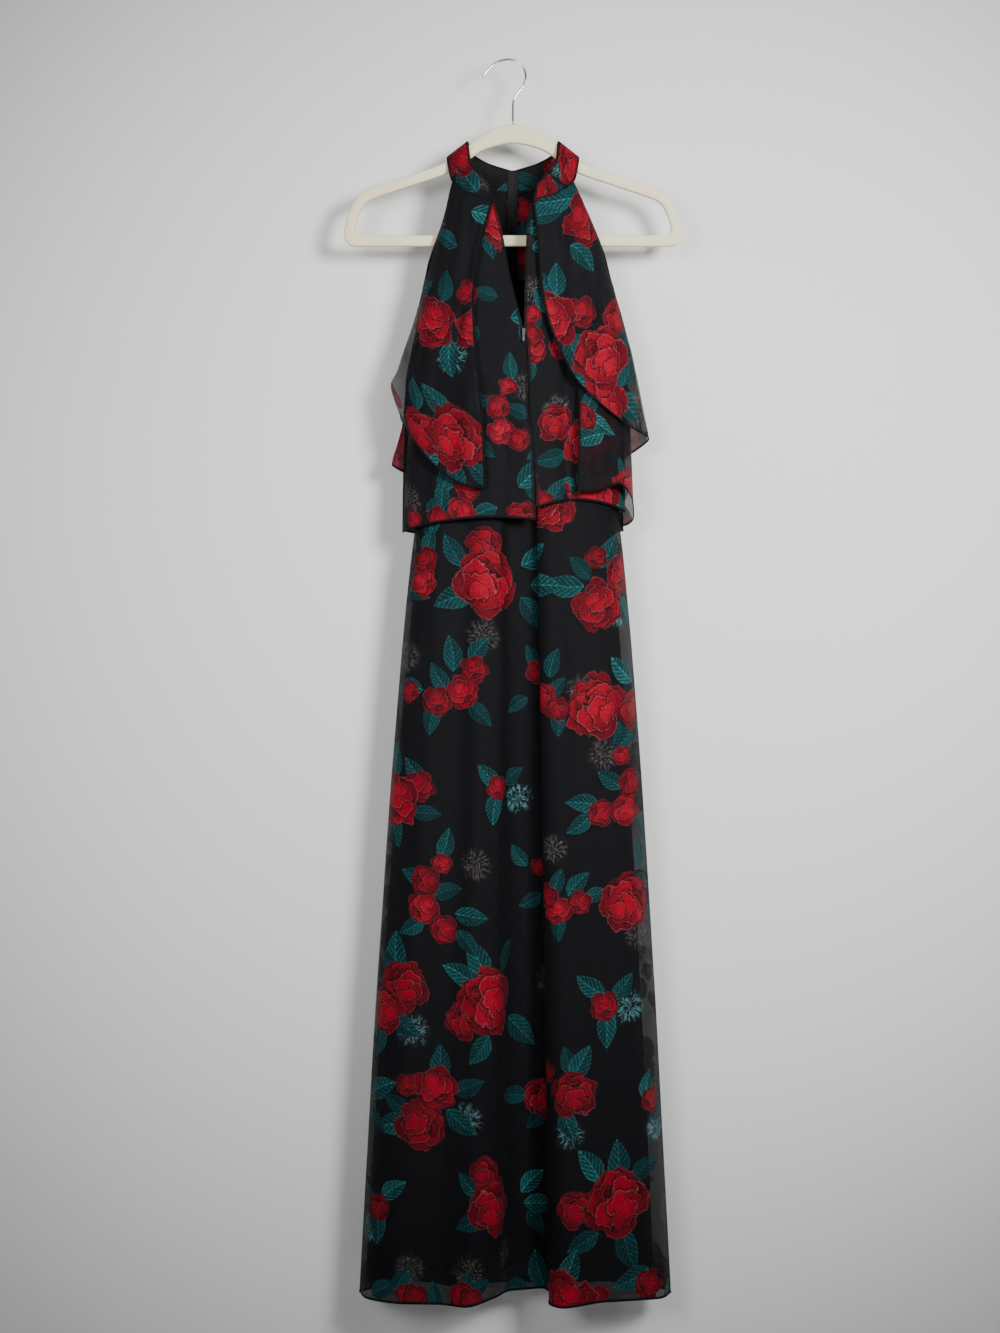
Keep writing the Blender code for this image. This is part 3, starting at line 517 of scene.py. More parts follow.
def put_motifs(mesh, quads, world, st, table, behind=False):
    """Writes each motif's own coordinates on the faces that it covers."""
    if behind:
        px, pz = world[:, 0], world[:, 2]
    else:
        px, pz = seen_from_front(world)
    layers = {k: np.full((len(quads), 4, 3), EMPTY, np.float32) for k in LAYERS}
    nearest = {k: np.full(len(quads), 9.0) for k in LAYERS}
    count = 0
    for kind in ("rose", "leaf", "spray"):
        names = [n for n in LAYERS if n.startswith(kind)]
        for x, z, radius, turn, tint in table.get(kind, ()):
            count += 1
            away = np.hypot(px - x, pz - z)
            near = np.nonzero(away < away.min() + 2.5)[0]
            if away.min() > radius * 1.6:
                continue
            k = near[np.argmin(world[near, 1])] if not behind else near[0]
            c = math.cos(math.radians(turn))
            s = math.sin(math.radians(turn))
            ds = (st[:, 0] - st[k, 0] + (x - px[k])) / radius
            dt = -(st[:, 1] - st[k, 1] - (z - pz[k])) / radius
            lx = (c * ds + s * dt)[quads]
            ly = (-s * ds + c * dt)[quads]
            reach = np.maximum(np.abs(lx).min(axis=1), np.abs(ly).min(axis=1))
            cover = reach < 1.2
            target = min(names, key=lambda n: int((cover & (nearest[n] < 9.0)).sum()))
            cover &= reach < nearest[target]
            nearest[target][cover] = reach[cover]
            code = (count * 7) % 23 + min(max(tint, 0.02), 0.98)
            layers[target][cover, :, 0] = lx[cover]
            layers[target][cover, :, 1] = ly[cover]
            layers[target][cover, :, 2] = code
    in_use = [name for name in LAYERS if (nearest[name] < 9.0).any()]
    for name in in_use:
        mesh.attributes.new(name, "FLOAT_VECTOR", "CORNER").data.foreach_set(
            "vector", layers[name].ravel())
    return in_use


def cloth(name, grid, mat, replaces, table=None, behind=False, hems=("bottom",),
          flat=None, area=None, wall=None, held="hung"):
    """A hanging shell of cloth from a grid, with its print, weave and hems."""
    rows, cols = grid.shape[:2]
    s, t = lengths(grid)
    hem, run = hem_distance(grid, hems)
    pts = grid.reshape(-1, 3)
    st = np.stack([s.ravel(), t.ravel()], axis=-1)
    quads = grid_quads(rows, cols)
    hem, run = hem.ravel(), run.ravel()
    if wall:
        n = outward(grid).reshape(-1, 3)
        soft = np.clip(hem / 2.2, 0, 1)
        half = (wall / 2 * np.sqrt(np.maximum(0.0, 1 - (1 - soft) ** 2)) + 0.12)[:, None]
        count = len(pts)
        inner = grid_quads(rows, cols, count)[:, ::-1]
        border = ([c for c in range(cols)] + [r * cols + cols - 1 for r in range(1, rows)]
                  + [(rows - 1) * cols + c for c in range(cols - 2, -1, -1)]
                  + [r * cols for r in range(rows - 2, 0, -1)])
        rim = np.array([(a, b, b + count, a + count)
                        for a, b in zip(border, border[1:] + border[:1])])
        pts = np.vstack([pts + n * half, pts - n * half])
        st = np.vstack([st, st])
        hem, run = np.concatenate([hem, hem]), np.concatenate([run, run])
        quads = np.vstack([quads, inner, rim])
    world = pts
    placed = (pts + np.array([CENTRE_X, 0.0, 0.0])) * MM
    mesh = mesh_from(name, placed, quads)
    uv = mesh.uv_layers.new(name="cloth")
    uv.data.foreach_set("uv", (st[quads.ravel()] * MM).astype(np.float32).ravel())
    write_point(mesh, "hem_mm", hem)
    write_point(mesh, "run_mm", run)
    if isinstance(mat, str):
        mat = chiffon_for(mat, put_motifs(mesh, quads, world, st, table, behind))
    obj = bpy.data.objects.new(name, mesh)
    bpy.context.scene.collection.objects.link(obj)
    mesh.materials.append(mat)
    if wall:
        bm = bmesh.new()
        bm.from_mesh(mesh)
        bmesh.ops.recalc_face_normals(bm, faces=bm.faces)
        bm.to_mesh(mesh)
        bm.free()
    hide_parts(*([replaces] if isinstance(replaces, str) else replaces))
    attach(obj, ROOT)
    return obj


def rolled_hem(name, grid, sides, mat, radius=(1.5, 0.75)):
    """A narrow rolled hem: a flattened tube along one or more sides in turn."""
    lines = {"inner": grid[:, 0], "outer": grid[:, -1], "top": grid[0], "bottom": grid[-1]}
    inward = {"inner": grid[:, 1] - grid[:, 0], "outer": grid[:, -2] - grid[:, -1],
              "top": grid[1] - grid[0], "bottom": grid[-2] - grid[-1]}
    n = outward(grid)
    norm = {"inner": n[:, 0], "outer": n[:, -1], "top": n[0], "bottom": n[-1]}
    path, into, out = [], [], []
    for k, side in enumerate(sides):
        cut = slice(1, None) if k else slice(None)
        path.append(lines[side][cut])
        into.append(inward[side][cut])
        out.append(norm[side][cut])
    path, into, out = np.vstack(path), np.vstack(into), np.vstack(out)
    into = into / np.maximum(np.linalg.norm(into, axis=1, keepdims=True), 1e-9)
    for _ in range(3):
        into[1:-1] = (into[:-2] + into[1:-1] * 2 + into[2:]) / 4
    into = into / np.maximum(np.linalg.norm(into, axis=1, keepdims=True), 1e-9)
    ring = 8
    ang = np.arange(ring) / ring * 2 * math.pi
    pts = (path[:, None, :] + into[:, None, :] * (radius[0] * (1.0 + np.cos(ang)))[None, :, None] * 0.85
           + out[:, None, :] * (radius[1] * np.sin(ang))[None, :, None])
    count = len(path)
    i = np.arange(count - 1)[:, None] * ring + np.arange(ring)[None, :]
    j = np.arange(count - 1)[:, None] * ring + (np.arange(ring)[None, :] + 1) % ring
    quads = np.stack([i, j, j + ring, i + ring], axis=-1).reshape(-1, 4)
    placed = (pts.reshape(-1, 3) + np.array([CENTRE_X, 0.0, 0.0])) * MM
    mesh = mesh_from(name, placed, quads)
    bm = bmesh.new()
    bm.from_mesh(mesh)
    bmesh.ops.holes_fill(bm, edges=[e for e in bm.edges if e.is_boundary], sides=ring)
    bmesh.ops.recalc_face_normals(bm, faces=bm.faces)
    bm.to_mesh(mesh)
    bm.free()
    uv = mesh.uv_layers.new(name="cloth")
    obj = bpy.data.objects.new(name, mesh)
    bpy.context.scene.collection.objects.link(obj)
    mesh.materials.append(mat)
    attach(obj, ROOT)
    return obj


# ---------------------------------------------------------------- shaders
class Net:
    """Short hand for building node trees from sums and products."""

    def __init__(self, tree):
        self.tree = tree

    def node(self, kind, **props):
        made = self.tree.nodes.new(kind)
        for key, value in props.items():
            setattr(made, key, value)
        return made

    def put(self, socket, value):
        if isinstance(value, V):
            value = value.out
        if isinstance(value, bpy.types.NodeSocket):
            self.tree.links.new(value, socket)
        else:
            socket.default_value = value

    def math(self, op, *args, clamp=False):
        made = self.node("ShaderNodeMath", operation=op, use_clamp=clamp)
        for socket, value in zip(made.inputs, args):
            self.put(socket, value)
        return V(self, made.outputs[0])

    def mix(self, factor, a, b, blend="MIX"):
        made = self.node("ShaderNodeMix", data_type="RGBA", blend_type=blend)
        self.put(made.inputs[0], factor)
        self.put(made.inputs[6], a)
        self.put(made.inputs[7], b)
        return V(self, made.outputs[2])

    def ramp(self, factor, stops, mode="LINEAR"):
        made = self.node("ShaderNodeValToRGB")
        made.color_ramp.interpolation = mode
        while len(made.color_ramp.elements) < len(stops):
            made.color_ramp.elements.new(0.5)
        for element, (place, colour) in zip(made.color_ramp.elements, stops):
            element.position = place
            element.color = (*colour, 1.0)
        self.put(made.inputs[0], factor)
        return V(self, made.outputs[0])

    def noise(self, vector, scale, detail=2.0, rough=0.5, out=0):
        made = self.node("ShaderNodeTexNoise")
        if vector is not None:
            self.put(made.inputs["Vector"], vector)
        made.inputs["Scale"].default_value = scale
        made.inputs["Detail"].default_value = detail
        made.inputs["Roughness"].default_value = rough
        return V(self, made.outputs[out])

    def combine(self, x, y, z=0.0):
        made = self.node("ShaderNodeCombineXYZ")
        for socket, value in zip(made.inputs, (x, y, z)):
            self.put(socket, value)
        return V(self, made.outputs[0])

    def split(self, vector):
        made = self.node("ShaderNodeSeparateXYZ")
        self.put(made.inputs[0], vector)
        return [V(self, o) for o in made.outputs]

    def attribute(self, name, out="Vector"):
        made = self.node("ShaderNodeAttribute", attribute_name=name)
        return V(self, made.outputs[out])

    def step(self, value, low, high):
        made = self.node("ShaderNodeMapRange", interpolation_type="SMOOTHSTEP")
        self.put(made.inputs["Value"], value)
        self.put(made.inputs["From Min"], low)
        self.put(made.inputs["From Max"], high)
        return V(self, made.outputs[0])


class V:
    """A node output that can be added, multiplied and so on."""

    def __init__(self, net, out):
        self.net, self.out = net, out

    def __add__(self, o): return self.net.math("ADD", self, o)
    def __radd__(self, o): return self.net.math("ADD", o, self)
    def __sub__(self, o): return self.net.math("SUBTRACT", self, o)
    def __rsub__(self, o): return self.net.math("SUBTRACT", o, self)
    def __mul__(self, o): return self.net.math("MULTIPLY", self, o)
    def __rmul__(self, o): return self.net.math("MULTIPLY", o, self)
    def __truediv__(self, o): return self.net.math("DIVIDE", self, o)
    def cos(self): return self.net.math("COSINE", self)
    def sin(self): return self.net.math("SINE", self)
    def abs(self): return self.net.math("ABSOLUTE", self)
    def floor(self): return self.net.math("FLOOR", self)
    def fract(self): return self.net.math("FRACT", self)
    def root(self): return self.net.math("SQRT", self)
    def clip(self): return self.net.math("ADD", self, 0.0, clamp=True)
    def power(self, p): return self.net.math("POWER", self, p)


def group(name):
    tree = bpy.data.node_groups.new(name, "ShaderNodeTree")
    tree.interface.new_socket("Place", in_out="INPUT", socket_type="NodeSocketVector")
    tree.interface.new_socket("Loose", in_out="INPUT", socket_type="NodeSocketVector")
    tree.interface.new_socket("Tight", in_out="INPUT", socket_type="NodeSocketVector")
    tree.interface.new_socket("Fine", in_out="INPUT", socket_type="NodeSocketFloat")
    tree.interface.new_socket("Colour", in_out="OUTPUT", socket_type="NodeSocketColor")
    tree.interface.new_socket("Cover", in_out="OUTPUT", socket_type="NodeSocketFloat")
    net = Net(tree)
    given = net.node("NodeGroupInput")
    return tree, net, [V(net, given.outputs[k]) for k in range(4)]


def close(net, colour, cover):
    out = net.node("NodeGroupOutput")
    net.put(out.inputs[0], colour)
    net.put(out.inputs[1], cover)


PETALS = [
    # centre x, y, half width, half height, lean, light, slope, rim
    (-0.52, 0.06, 0.42, 0.60, 18, 0.30, 0.14, 0.10), (0.55, 0.02, 0.42, 0.62, -16, 0.38, 0.16, 0.16),
    (0.02, 0.50, 0.62, 0.44, 4, 0.30, 0.20, 0.12), (-0.36, -0.46, 0.50, 0.44, -34, 0.34, -0.12, 0.22),
    (0.40, -0.46, 0.50, 0.44, 32, 0.30, -0.10, 0.30), (-0.24, 0.34, 0.44, 0.42, 24, 0.42, 0.18, 0.16),
    (0.28, 0.36, 0.42, 0.42, -20, 0.46, 0.18, 0.22), (0.02, 0.34, 0.34, 0.30, 0, 0.26, 0.20, 0.06),
    (0.04, 0.34, 0.22, 0.20, 30, 0.40, 0.16, 0.18), (0.05, 0.35, 0.12, 0.11, -20, 0.18, 0.10, 0.0),
    (-0.32, -0.06, 0.40, 0.48, 20, 0.56, 0.16, 0.26), (0.36, -0.08, 0.38, 0.50, -24, 0.52, 0.18, 0.32),
    (-0.04, 0.02, 0.34, 0.30, -8, 0.46, 0.18, 0.30), (0.05, -0.16, 0.42, 0.36, 6, 0.62, 0.14, 0.34),
    (-0.20, -0.46, 0.40, 0.28, -22, 0.50, 0.10, 0.20), (0.28, -0.44, 0.36, 0.26, 26, 0.46, 0.10, 0.30),
    (0.04, -0.40, 0.30, 0.24, 0, 0.66, 0.12, 0.26),
]


def rose_group():
    """A full rose: seventeen cupped petals laid from the back to the front,
    each with its own light, a dark line under it and a pink rim."""
    tree, net, (place, loose, tight, fine) = group("print_rose")
    x0, y0, code = net.split(place)
    seed, tint = code.floor(), code.fract()
    flip = 1.0 - net.math("MODULO", seed, 2.0) * 2.0
    x1 = x0 * flip
    wx, wy, _ = net.split(loose)
    tx, ty, grain = net.split(tight)
    x = x1 + (wx - 0.5) * 0.42 + (tx - 0.5) * 0.11
    y = y0 + (wy - 0.5) * 0.42 + (ty - 0.5) * 0.11
    shade, cover, pink = None, None, None
    for cx, cy, rx, ry, lean, light, slope, rim in PETALS:
        c, s = math.cos(math.radians(lean)), math.sin(math.radians(lean))
        u = net.math("MULTIPLY_ADD", x, c / rx, net.math("MULTIPLY_ADD", y, s / rx, -(c * cx + s * cy) / rx))
        v = net.math("MULTIPLY_ADD", x, -s / ry, net.math("MULTIPLY_ADD", y, c / ry, -(c * cy - s * cx) / ry))
        away = net.math("MULTIPLY_ADD", u, u, v * v)
        inside = net.math("MULTIPLY_ADD", away, -9.0, 9.6, clamp=True)
        tone = net.math("MULTIPLY_ADD", v, slope, light)
        tone = net.math("MULTIPLY_ADD", away, -0.16, tone + 0.05)
        edge = net.math("MULTIPLY_ADD", away, 6.0, -4.9, clamp=True) * inside * rim
        if shade is None:
            shade, cover, pink = tone, inside, edge
            continue
        under = net.math("MULTIPLY_ADD", away, 1.3, -0.95, clamp=True)
        shade = shade * under
        shade = net.math("MULTIPLY_ADD", inside, tone - shade, shade)
        pink = net.math("MULTIPLY_ADD", inside, edge - pink, pink)
        cover = net.math("MAXIMUM", cover, inside)
    ridge = net.math("MULTIPLY_ADD", (grain - 0.5).abs(), 14.0, 0.10, clamp=True)
    shade = shade * (0.52 + tint * 0.46) * (0.66 + ridge * 0.34) + (tx - 0.5) * 0.34 + (fine - 0.5) * 0.22
    shade = net.math("MINIMUM", shade, 0.80)
    pink = pink * net.step(fine, 0.36, 0.60) * 2.1 + net.step(fine + grain * 0.4, 0.86, 0.98) * 0.16
    colour = net.ramp(shade.clip(),
                      [(0.0, (0.009, 0.0004, 0.0016)), (0.14, (0.040, 0.0006, 0.003)),
                       (0.34, (0.130, 0.0011, 0.007)), (0.56, (0.29, 0.0020, 0.014)),
                       (0.80, (0.47, 0.0040, 0.023))])
    colour = net.mix((pink * (0.45 + tint * 0.55)).clip(), colour, (0.50, 0.125, 0.150, 1.0))
    close(net, colour, net.step(cover - (fine - 0.5) * 0.5, 0.2, 0.7))
    return tree


def leaf_group():
    """A rose leaf: toothed edge, dark midrib and side veins, one lit half."""
    tree, net, (place, loose, tight, fine) = group("print_leaf")
    x0, y0, code = net.split(place)
    seed, tint = code.floor(), code.fract()
    rx, ry, grain = net.split(tight)
    bend = (seed * 2.1).sin() * 0.13
    x = x0 + (rx - 0.5) * 0.08
    y = y0 + (ry - 0.5) * 0.08 + bend * (x0 * x0 - 0.5)
    away = y.abs()
    tooth = (x * 26.0 + away * 8.0 + seed).fract() * 0.045
    swell = net.math("MAXIMUM", 1.0 - x * x, 0.0).power(0.80)
    width = swell * (0.54 - x * 0.16) + tooth - 0.02
    cover = net.step(width - away, 0.0, 0.05)
    rib = 1.0 - net.step(away, 0.010, 0.045)
    stripe = (x * 3.3 - away * 4.2 + (seed * 0.37) + grain * 0.25).fract()
    vein = 1.0 - net.step((stripe - 0.5).abs(), 0.07, 0.20)
    rim = 1.0 - net.step(width - away, 0.03, 0.11)
    half = net.step(y, -0.05, 0.05)
    light = 0.20 + half * 0.16 + (grain - 0.5) * 0.9 + (fine - 0.5) * 0.7 - x * 0.08
    light = light + vein * 0.34 + rib * 0.42 + rim * 0.26
    glow = 0.22 + tint * 0.86
    colour = net.ramp((light * glow).clip(),
                      [(0.0, (0.0012, 0.008, 0.010)), (0.25, (0.004, 0.036, 0.040)),
                       (0.5, (0.010, 0.105, 0.106)), (0.75, (0.026, 0.205, 0.195)),
                       (1.0, (0.12, 0.40, 0.37))])
    close(net, colour, cover * (0.88 + grain * 0.25).clip())
    return tree


def spray_group():
    """A loose spray: thin stalks that fan out, tipped with tiny florets."""
    tree, net, (place, loose, tight, fine) = group("print_spray")
    x0, y0, code = net.split(place)
    seed, tint = code.floor(), code.fract()
    x, y = x0, y0 + 0.35
    away = net.math("MULTIPLY_ADD", x, x, y * y).root()
    fan = net.noise(net.combine(x / (away + 0.12) * 2.6, y / (away + 0.12) * 2.6, away * 0.7 + seed), 2.4, 1.0, 0.7)
    dots = net.split(tight)[2] * 0.45 + fine * 0.55
    reach = 1.0 - net.step(away + dots * 0.5, 0.85, 1.35)
    stalk = net.step(fan, 0.53, 0.58) * reach
    floret = net.step(dots, 0.55, 0.62) * reach
    ink = net.math("MAXIMUM", stalk * 0.75, floret)
    colour = net.mix(net.step(dots, 0.45, 0.75), (0.050, 0.055, 0.052, 1.0), (0.20, 0.125, 0.115, 1.0))
    teal = net.step(tint, 0.45, 0.75)
    colour = net.mix(teal, colour, (0.055, 0.17, 0.18, 1.0))
    colour = net.mix(net.step(dots, 0.66, 0.80) * 0.8, colour, (0.36, 0.33, 0.32, 1.0))
    glow = 0.75 + tint * 1.1
    colour = net.mix(1.0, colour, net.combine(glow, glow, glow), "MULTIPLY")
    close(net, colour, ink * 0.85)
    return tree


ROSE, LEAF, SPRAY = rose_group(), leaf_group(), spray_group()


def fresh(name):
    mat = bpy.data.materials.new(name)
    mat.use_nodes = True
    net = Net(mat.node_tree)
    shader = mat.node_tree.nodes["Principled BSDF"]
    return mat, net, shader


def weave_bump(net, pitch, strength, coordinates, extra=None, distance=0.0004):
    """Fine crossed threads from the cloth's own coordinates, in metres."""
    s, t, _ = net.split(coordinates)
    k = 2 * math.pi / pitch
    threads = (s * k).sin() * 0.5 + (t * k).sin() * 0.5
    height = threads * 0.25
    if extra is not None:
        height = height + extra
    bump = net.node("ShaderNodeBump")
    bump.inputs["Strength"].default_value = strength
    bump.inputs["Distance"].default_value = distance
    net.put(bump.inputs["Height"], height)
    return bump.outputs[0]


def chiffon(name, plain_alpha, print_alpha, printed, ground=(0.0042, 0.0042, 0.0053)):
    mat, net, shader = fresh(name)
    uv = net.node("ShaderNodeUVMap", uv_map="cloth").outputs[0]
    loose = net.noise(uv, 68.0, 1.0, 0.5, out=1)
    tight = net.noise(uv, 330.0, 2.0, 0.6, out=1)
    slub = net.noise(uv, 900.0, 1.0, 0.6)
    mist = net.split(loose)[2]
    colour = net.mix(mist, (*ground, 1.0), (ground[0] * 1.4, ground[1] * 1.4, ground[2] * 1.45, 1.0))
    inked = None
    if printed:
        for layer, tree in (("spray_a", SPRAY), ("leaf_b", LEAF), ("leaf_a", LEAF),
                            ("rose_b", ROSE), ("rose_a", ROSE)):
            if layer not in printed:
                continue
            node = net.node("ShaderNodeGroup")
            node.node_tree = tree
            net.put(node.inputs[0], net.attribute(layer))
            net.put(node.inputs[1], loose)
            net.put(node.inputs[2], tight)
            net.put(node.inputs[3], slub)
            cover = V(net, node.outputs[1])
            colour = net.mix(cover, colour, V(net, node.outputs[0]))
            inked = cover if inked is None else net.math("MAXIMUM", inked, cover)
        colour = net.mix((slub * 0.3).clip(), colour, (ground[0], ground[1], ground[2], 1.0))
    hem = net.attribute("hem_mm", "Fac")
    run = net.attribute("run_mm", "Fac")
    rolled = 1.0 - net.step(hem, 3.2, 4.4)
    stitch = (1.0 - net.step((hem - 4.0).abs(), 0.25, 0.6)) * net.step((run / 2.6 * 6.2832).sin(), -0.2, 0.2)
    alpha = plain_alpha + (mist - 0.5) * 0.08 + (slub - 0.5) * 0.10
    if name.startswith("chiffon_sheer"):
        drop = net.split(net.node("ShaderNodeTexCoord").outputs["Object"])[2]
        gathered = net.step(drop, -0.40, -0.28) * 0.22
        alpha = alpha + net.math("MAXIMUM", net.step(hem, 45.0, 120.0) * 0.13, gathered)
    if name.startswith("chiffon_skirt"):
        alpha = alpha + (1.0 - net.step(hem, 18.0, 48.0)) * 0.09
    if inked is not None:
        alpha = alpha + inked * (print_alpha - plain_alpha)
    alpha = net.math("MAXIMUM", alpha, rolled * 0.965)
    colour = net.mix(rolled * 0.8, colour, (0.0030, 0.0030, 0.0035, 1.0))
    colour = net.mix(stitch * 0.5, colour, (0.012, 0.012, 0.013, 1.0))
    net.put(shader.inputs["Base Color"], colour)
    net.put(shader.inputs["Alpha"], alpha.clip())
    net.put(shader.inputs["Roughness"], (0.62 + slub * 0.2).clip())
    shader.inputs["Sheen Weight"].default_value = 0.022
    shader.inputs["Sheen Roughness"].default_value = 0.5
    shader.inputs["Sheen Tint"].default_value = (0.80, 0.84, 0.92, 1.0)
    shader.inputs["Specular IOR Level"].default_value = 0.08
    pucker = stitch * 0.5 + rolled * 0.6 + slub * 0.35
    net.tree.links.new(weave_bump(net, 0.0009, 0.35, V(net, uv), pucker), shader.inputs["Normal"])
    return mat


def lining_material():
    mat, net, shader = fresh("lining_black")
    uv = net.node("ShaderNodeUVMap", uv_map="cloth").outputs[0]
    mist = net.noise(uv, 14.0, 3.0, 0.6)
    slub = net.noise(uv, 700.0, 2.0, 0.6)
    hem = net.attribute("hem_mm", "Fac")
    run = net.attribute("run_mm", "Fac")
    stitch = (1.0 - net.step((hem - 14.0).abs(), 0.3, 0.7)) * net.step((run / 3.2 * 6.2832).sin(), -0.3, 0.3)
    fold = 1.0 - net.step((hem - 15.0).abs(), 0.0, 1.2)
    colour = net.mix(mist, (0.0030, 0.0030, 0.0036, 1.0), (0.0055, 0.0055, 0.0062, 1.0))
    colour = net.mix(stitch * 0.7, colour, (0.022, 0.022, 0.024, 1.0))
    net.put(shader.inputs["Base Color"], colour)
    net.put(shader.inputs["Roughness"], (0.46 + slub * 0.22).clip())
    shader.inputs["Sheen Weight"].default_value = 0.03
    shader.inputs["Sheen Roughness"].default_value = 0.4
    shader.inputs["Specular IOR Level"].default_value = 0.2
    net.tree.links.new(weave_bump(net, 0.0007, 0.3, V(net, uv), slub * 0.3 + stitch * 0.5 - fold * 0.4),
                       shader.inputs["Normal"])
    return mat


def hem_material():
    mat, net, shader = fresh("hem_thread")
    place = net.node("ShaderNodeTexCoord").outputs["Object"]
    grain = net.noise(place, 900.0, 2.0, 0.6)
    twist = net.noise(place, 260.0, 2.0, 0.6)
    colour = net.mix(grain, (0.0018, 0.0018, 0.0021, 1.0), (0.0050, 0.0050, 0.0058, 1.0))
    net.put(shader.inputs["Base Color"], colour)
    net.put(shader.inputs["Roughness"], (0.55 + twist * 0.3).clip())
    shader.inputs["Specular IOR Level"].default_value = 0.08
    bump = net.node("ShaderNodeBump")
    bump.inputs["Strength"].default_value = 0.4
    bump.inputs["Distance"].default_value = 0.0004
    net.put(bump.inputs["Height"], grain * 0.5 + twist * 0.5)
    net.tree.links.new(bump.outputs[0], shader.inputs["Normal"])
    return mat


def flock_material():
    mat, net, shader = fresh("velvet_flock")
    place = net.node("ShaderNodeTexCoord").outputs["Object"]
    nap = net.noise(place, 1400.0, 2.0, 0.7)
    patch = net.noise(place, 34.0, 3.0, 0.6)
    rub = net.noise(place, 120.0, 2.0, 0.5)
    colour = net.mix(patch, (0.80, 0.73, 0.46, 1.0), (0.89, 0.83, 0.57, 1.0))
    colour = net.mix((nap * 0.35).clip(), colour, (0.52, 0.46, 0.32, 1.0))
    net.put(shader.inputs["Base Color"], colour)
    net.put(shader.inputs["Roughness"], (0.80 + rub * 0.2).clip())
    shader.inputs["Sheen Weight"].default_value = 0.16
    shader.inputs["Sheen Roughness"].default_value = 0.55
    shader.inputs["Sheen Tint"].default_value = (1.0, 0.97, 0.88, 1.0)
    shader.inputs["Specular IOR Level"].default_value = 0.15
    bump = net.node("ShaderNodeBump")
    bump.inputs["Strength"].default_value = 0.5
    bump.inputs["Distance"].default_value = 0.0005
    net.put(bump.inputs["Height"], nap * 0.7 + rub * 0.3)
    net.tree.links.new(bump.outputs[0], shader.inputs["Normal"])
    return mat


def metal_material(name, light, dark, rough):
    mat, net, shader = fresh(name)
    place = net.node("ShaderNodeTexCoord").outputs["Object"]
    smear = net.noise(place, 60.0, 3.0, 0.6)
    fine = net.noise(place, 800.0, 2.0, 0.6)
    net.put(shader.inputs["Base Color"], net.mix(smear, (*dark, 1.0), (*light, 1.0)))
    net.put(shader.inputs["Roughness"], (rough + smear * 0.08 + fine * 0.06).clip())
    shader.inputs["Metallic"].default_value = 1.0
    bump = net.node("ShaderNodeBump")
    bump.inputs["Strength"].default_value = 0.12
    bump.inputs["Distance"].default_value = 0.0002
    net.put(bump.inputs["Height"], fine)
    net.tree.links.new(bump.outputs[0], shader.inputs["Normal"])
    return mat


def tape_material():
    mat, net, shader = fresh("zip_tape_weave")
    place = net.node("ShaderNodeTexCoord").outputs["Object"]
    x, y, z = net.split(place)
    x = x - CENTRE_X * MM
    rib = ((z / 0.0011) * 6.2832 + (x.abs() / 0.0011) * 6.2832).sin()
    coil = (1.0 - net.step(x.abs(), 0.0008, 0.0011))
    tooth = (z / 0.0013 * 6.2832).sin()
    grain = net.noise(place, 900.0, 2.0, 0.6)
    colour = net.mix(grain, (0.0025, 0.0025, 0.003, 1.0), (0.006, 0.006, 0.0068, 1.0))
    colour = net.mix(coil * (0.5 + tooth * 0.5), colour, (0.022, 0.022, 0.025, 1.0))
    shader.inputs["Specular IOR Level"].default_value = 0.2
    net.put(shader.inputs["Base Color"], colour)
    net.put(shader.inputs["Roughness"], (0.5 + grain * 0.2).clip())
    bump = net.node("ShaderNodeBump")
    bump.inputs["Strength"].default_value = 0.6
    bump.inputs["Distance"].default_value = 0.0005
    net.put(bump.inputs["Height"], rib * 0.25 + coil * (0.8 + tooth * 0.5))
    net.tree.links.new(bump.outputs[0], shader.inputs["Normal"])
    return mat


KINDS = {"sheer": (0.78, 0.93), "doubled": (0.93, 0.97), "lined": (0.97, 0.99), "band": (0.93, 0.97), "skirt": (0.78, 0.93)}
MADE = {}


def chiffon_for(kind, layers):
    """One material for each grade of chiffon and set of print layers in use."""
    key = (kind, *layers)
    if key not in MADE:
        MADE[key] = chiffon(f"chiffon_{kind}_{len(MADE) + 1}", *KINDS[kind], layers)
    return MADE[key]


M_SHEER, M_BODICE, M_COLLAR, M_SKIRT = "sheer", "lined", "band", "skirt"
M_LINING = lining_material()
M_HEM = hem_material()
M_FLOCK = flock_material()
M_CHROME = metal_material("hook_chrome", (0.80, 0.80, 0.82), (0.60, 0.60, 0.62), 0.12)
M_ZIP = metal_material("zip_nickel", (0.085, 0.085, 0.088), (0.035, 0.035, 0.037), 0.42)
M_TAPE = tape_material()


def dress_piece(name, grid, mat, node, table=None, behind=False, hems=("bottom",), seed=0.0,
                rough=0.35, hem_runs=(("bottom",),), wall=None,
                key=None):
    grid = crease(grid, CREASES.get(key or node, ()))
    grid = rumple(grid, rough, seed)
    obj = cloth(name, grid, mat, node, table=table, behind=behind, hems=hems, wall=wall)
    for k, run in enumerate(hem_runs):
        rolled_hem(f"{name}_hem{k + 1}", grid, run, M_HEM)
    return obj, grid


fine = 1.0


def n(count):
    return int(count * fine)


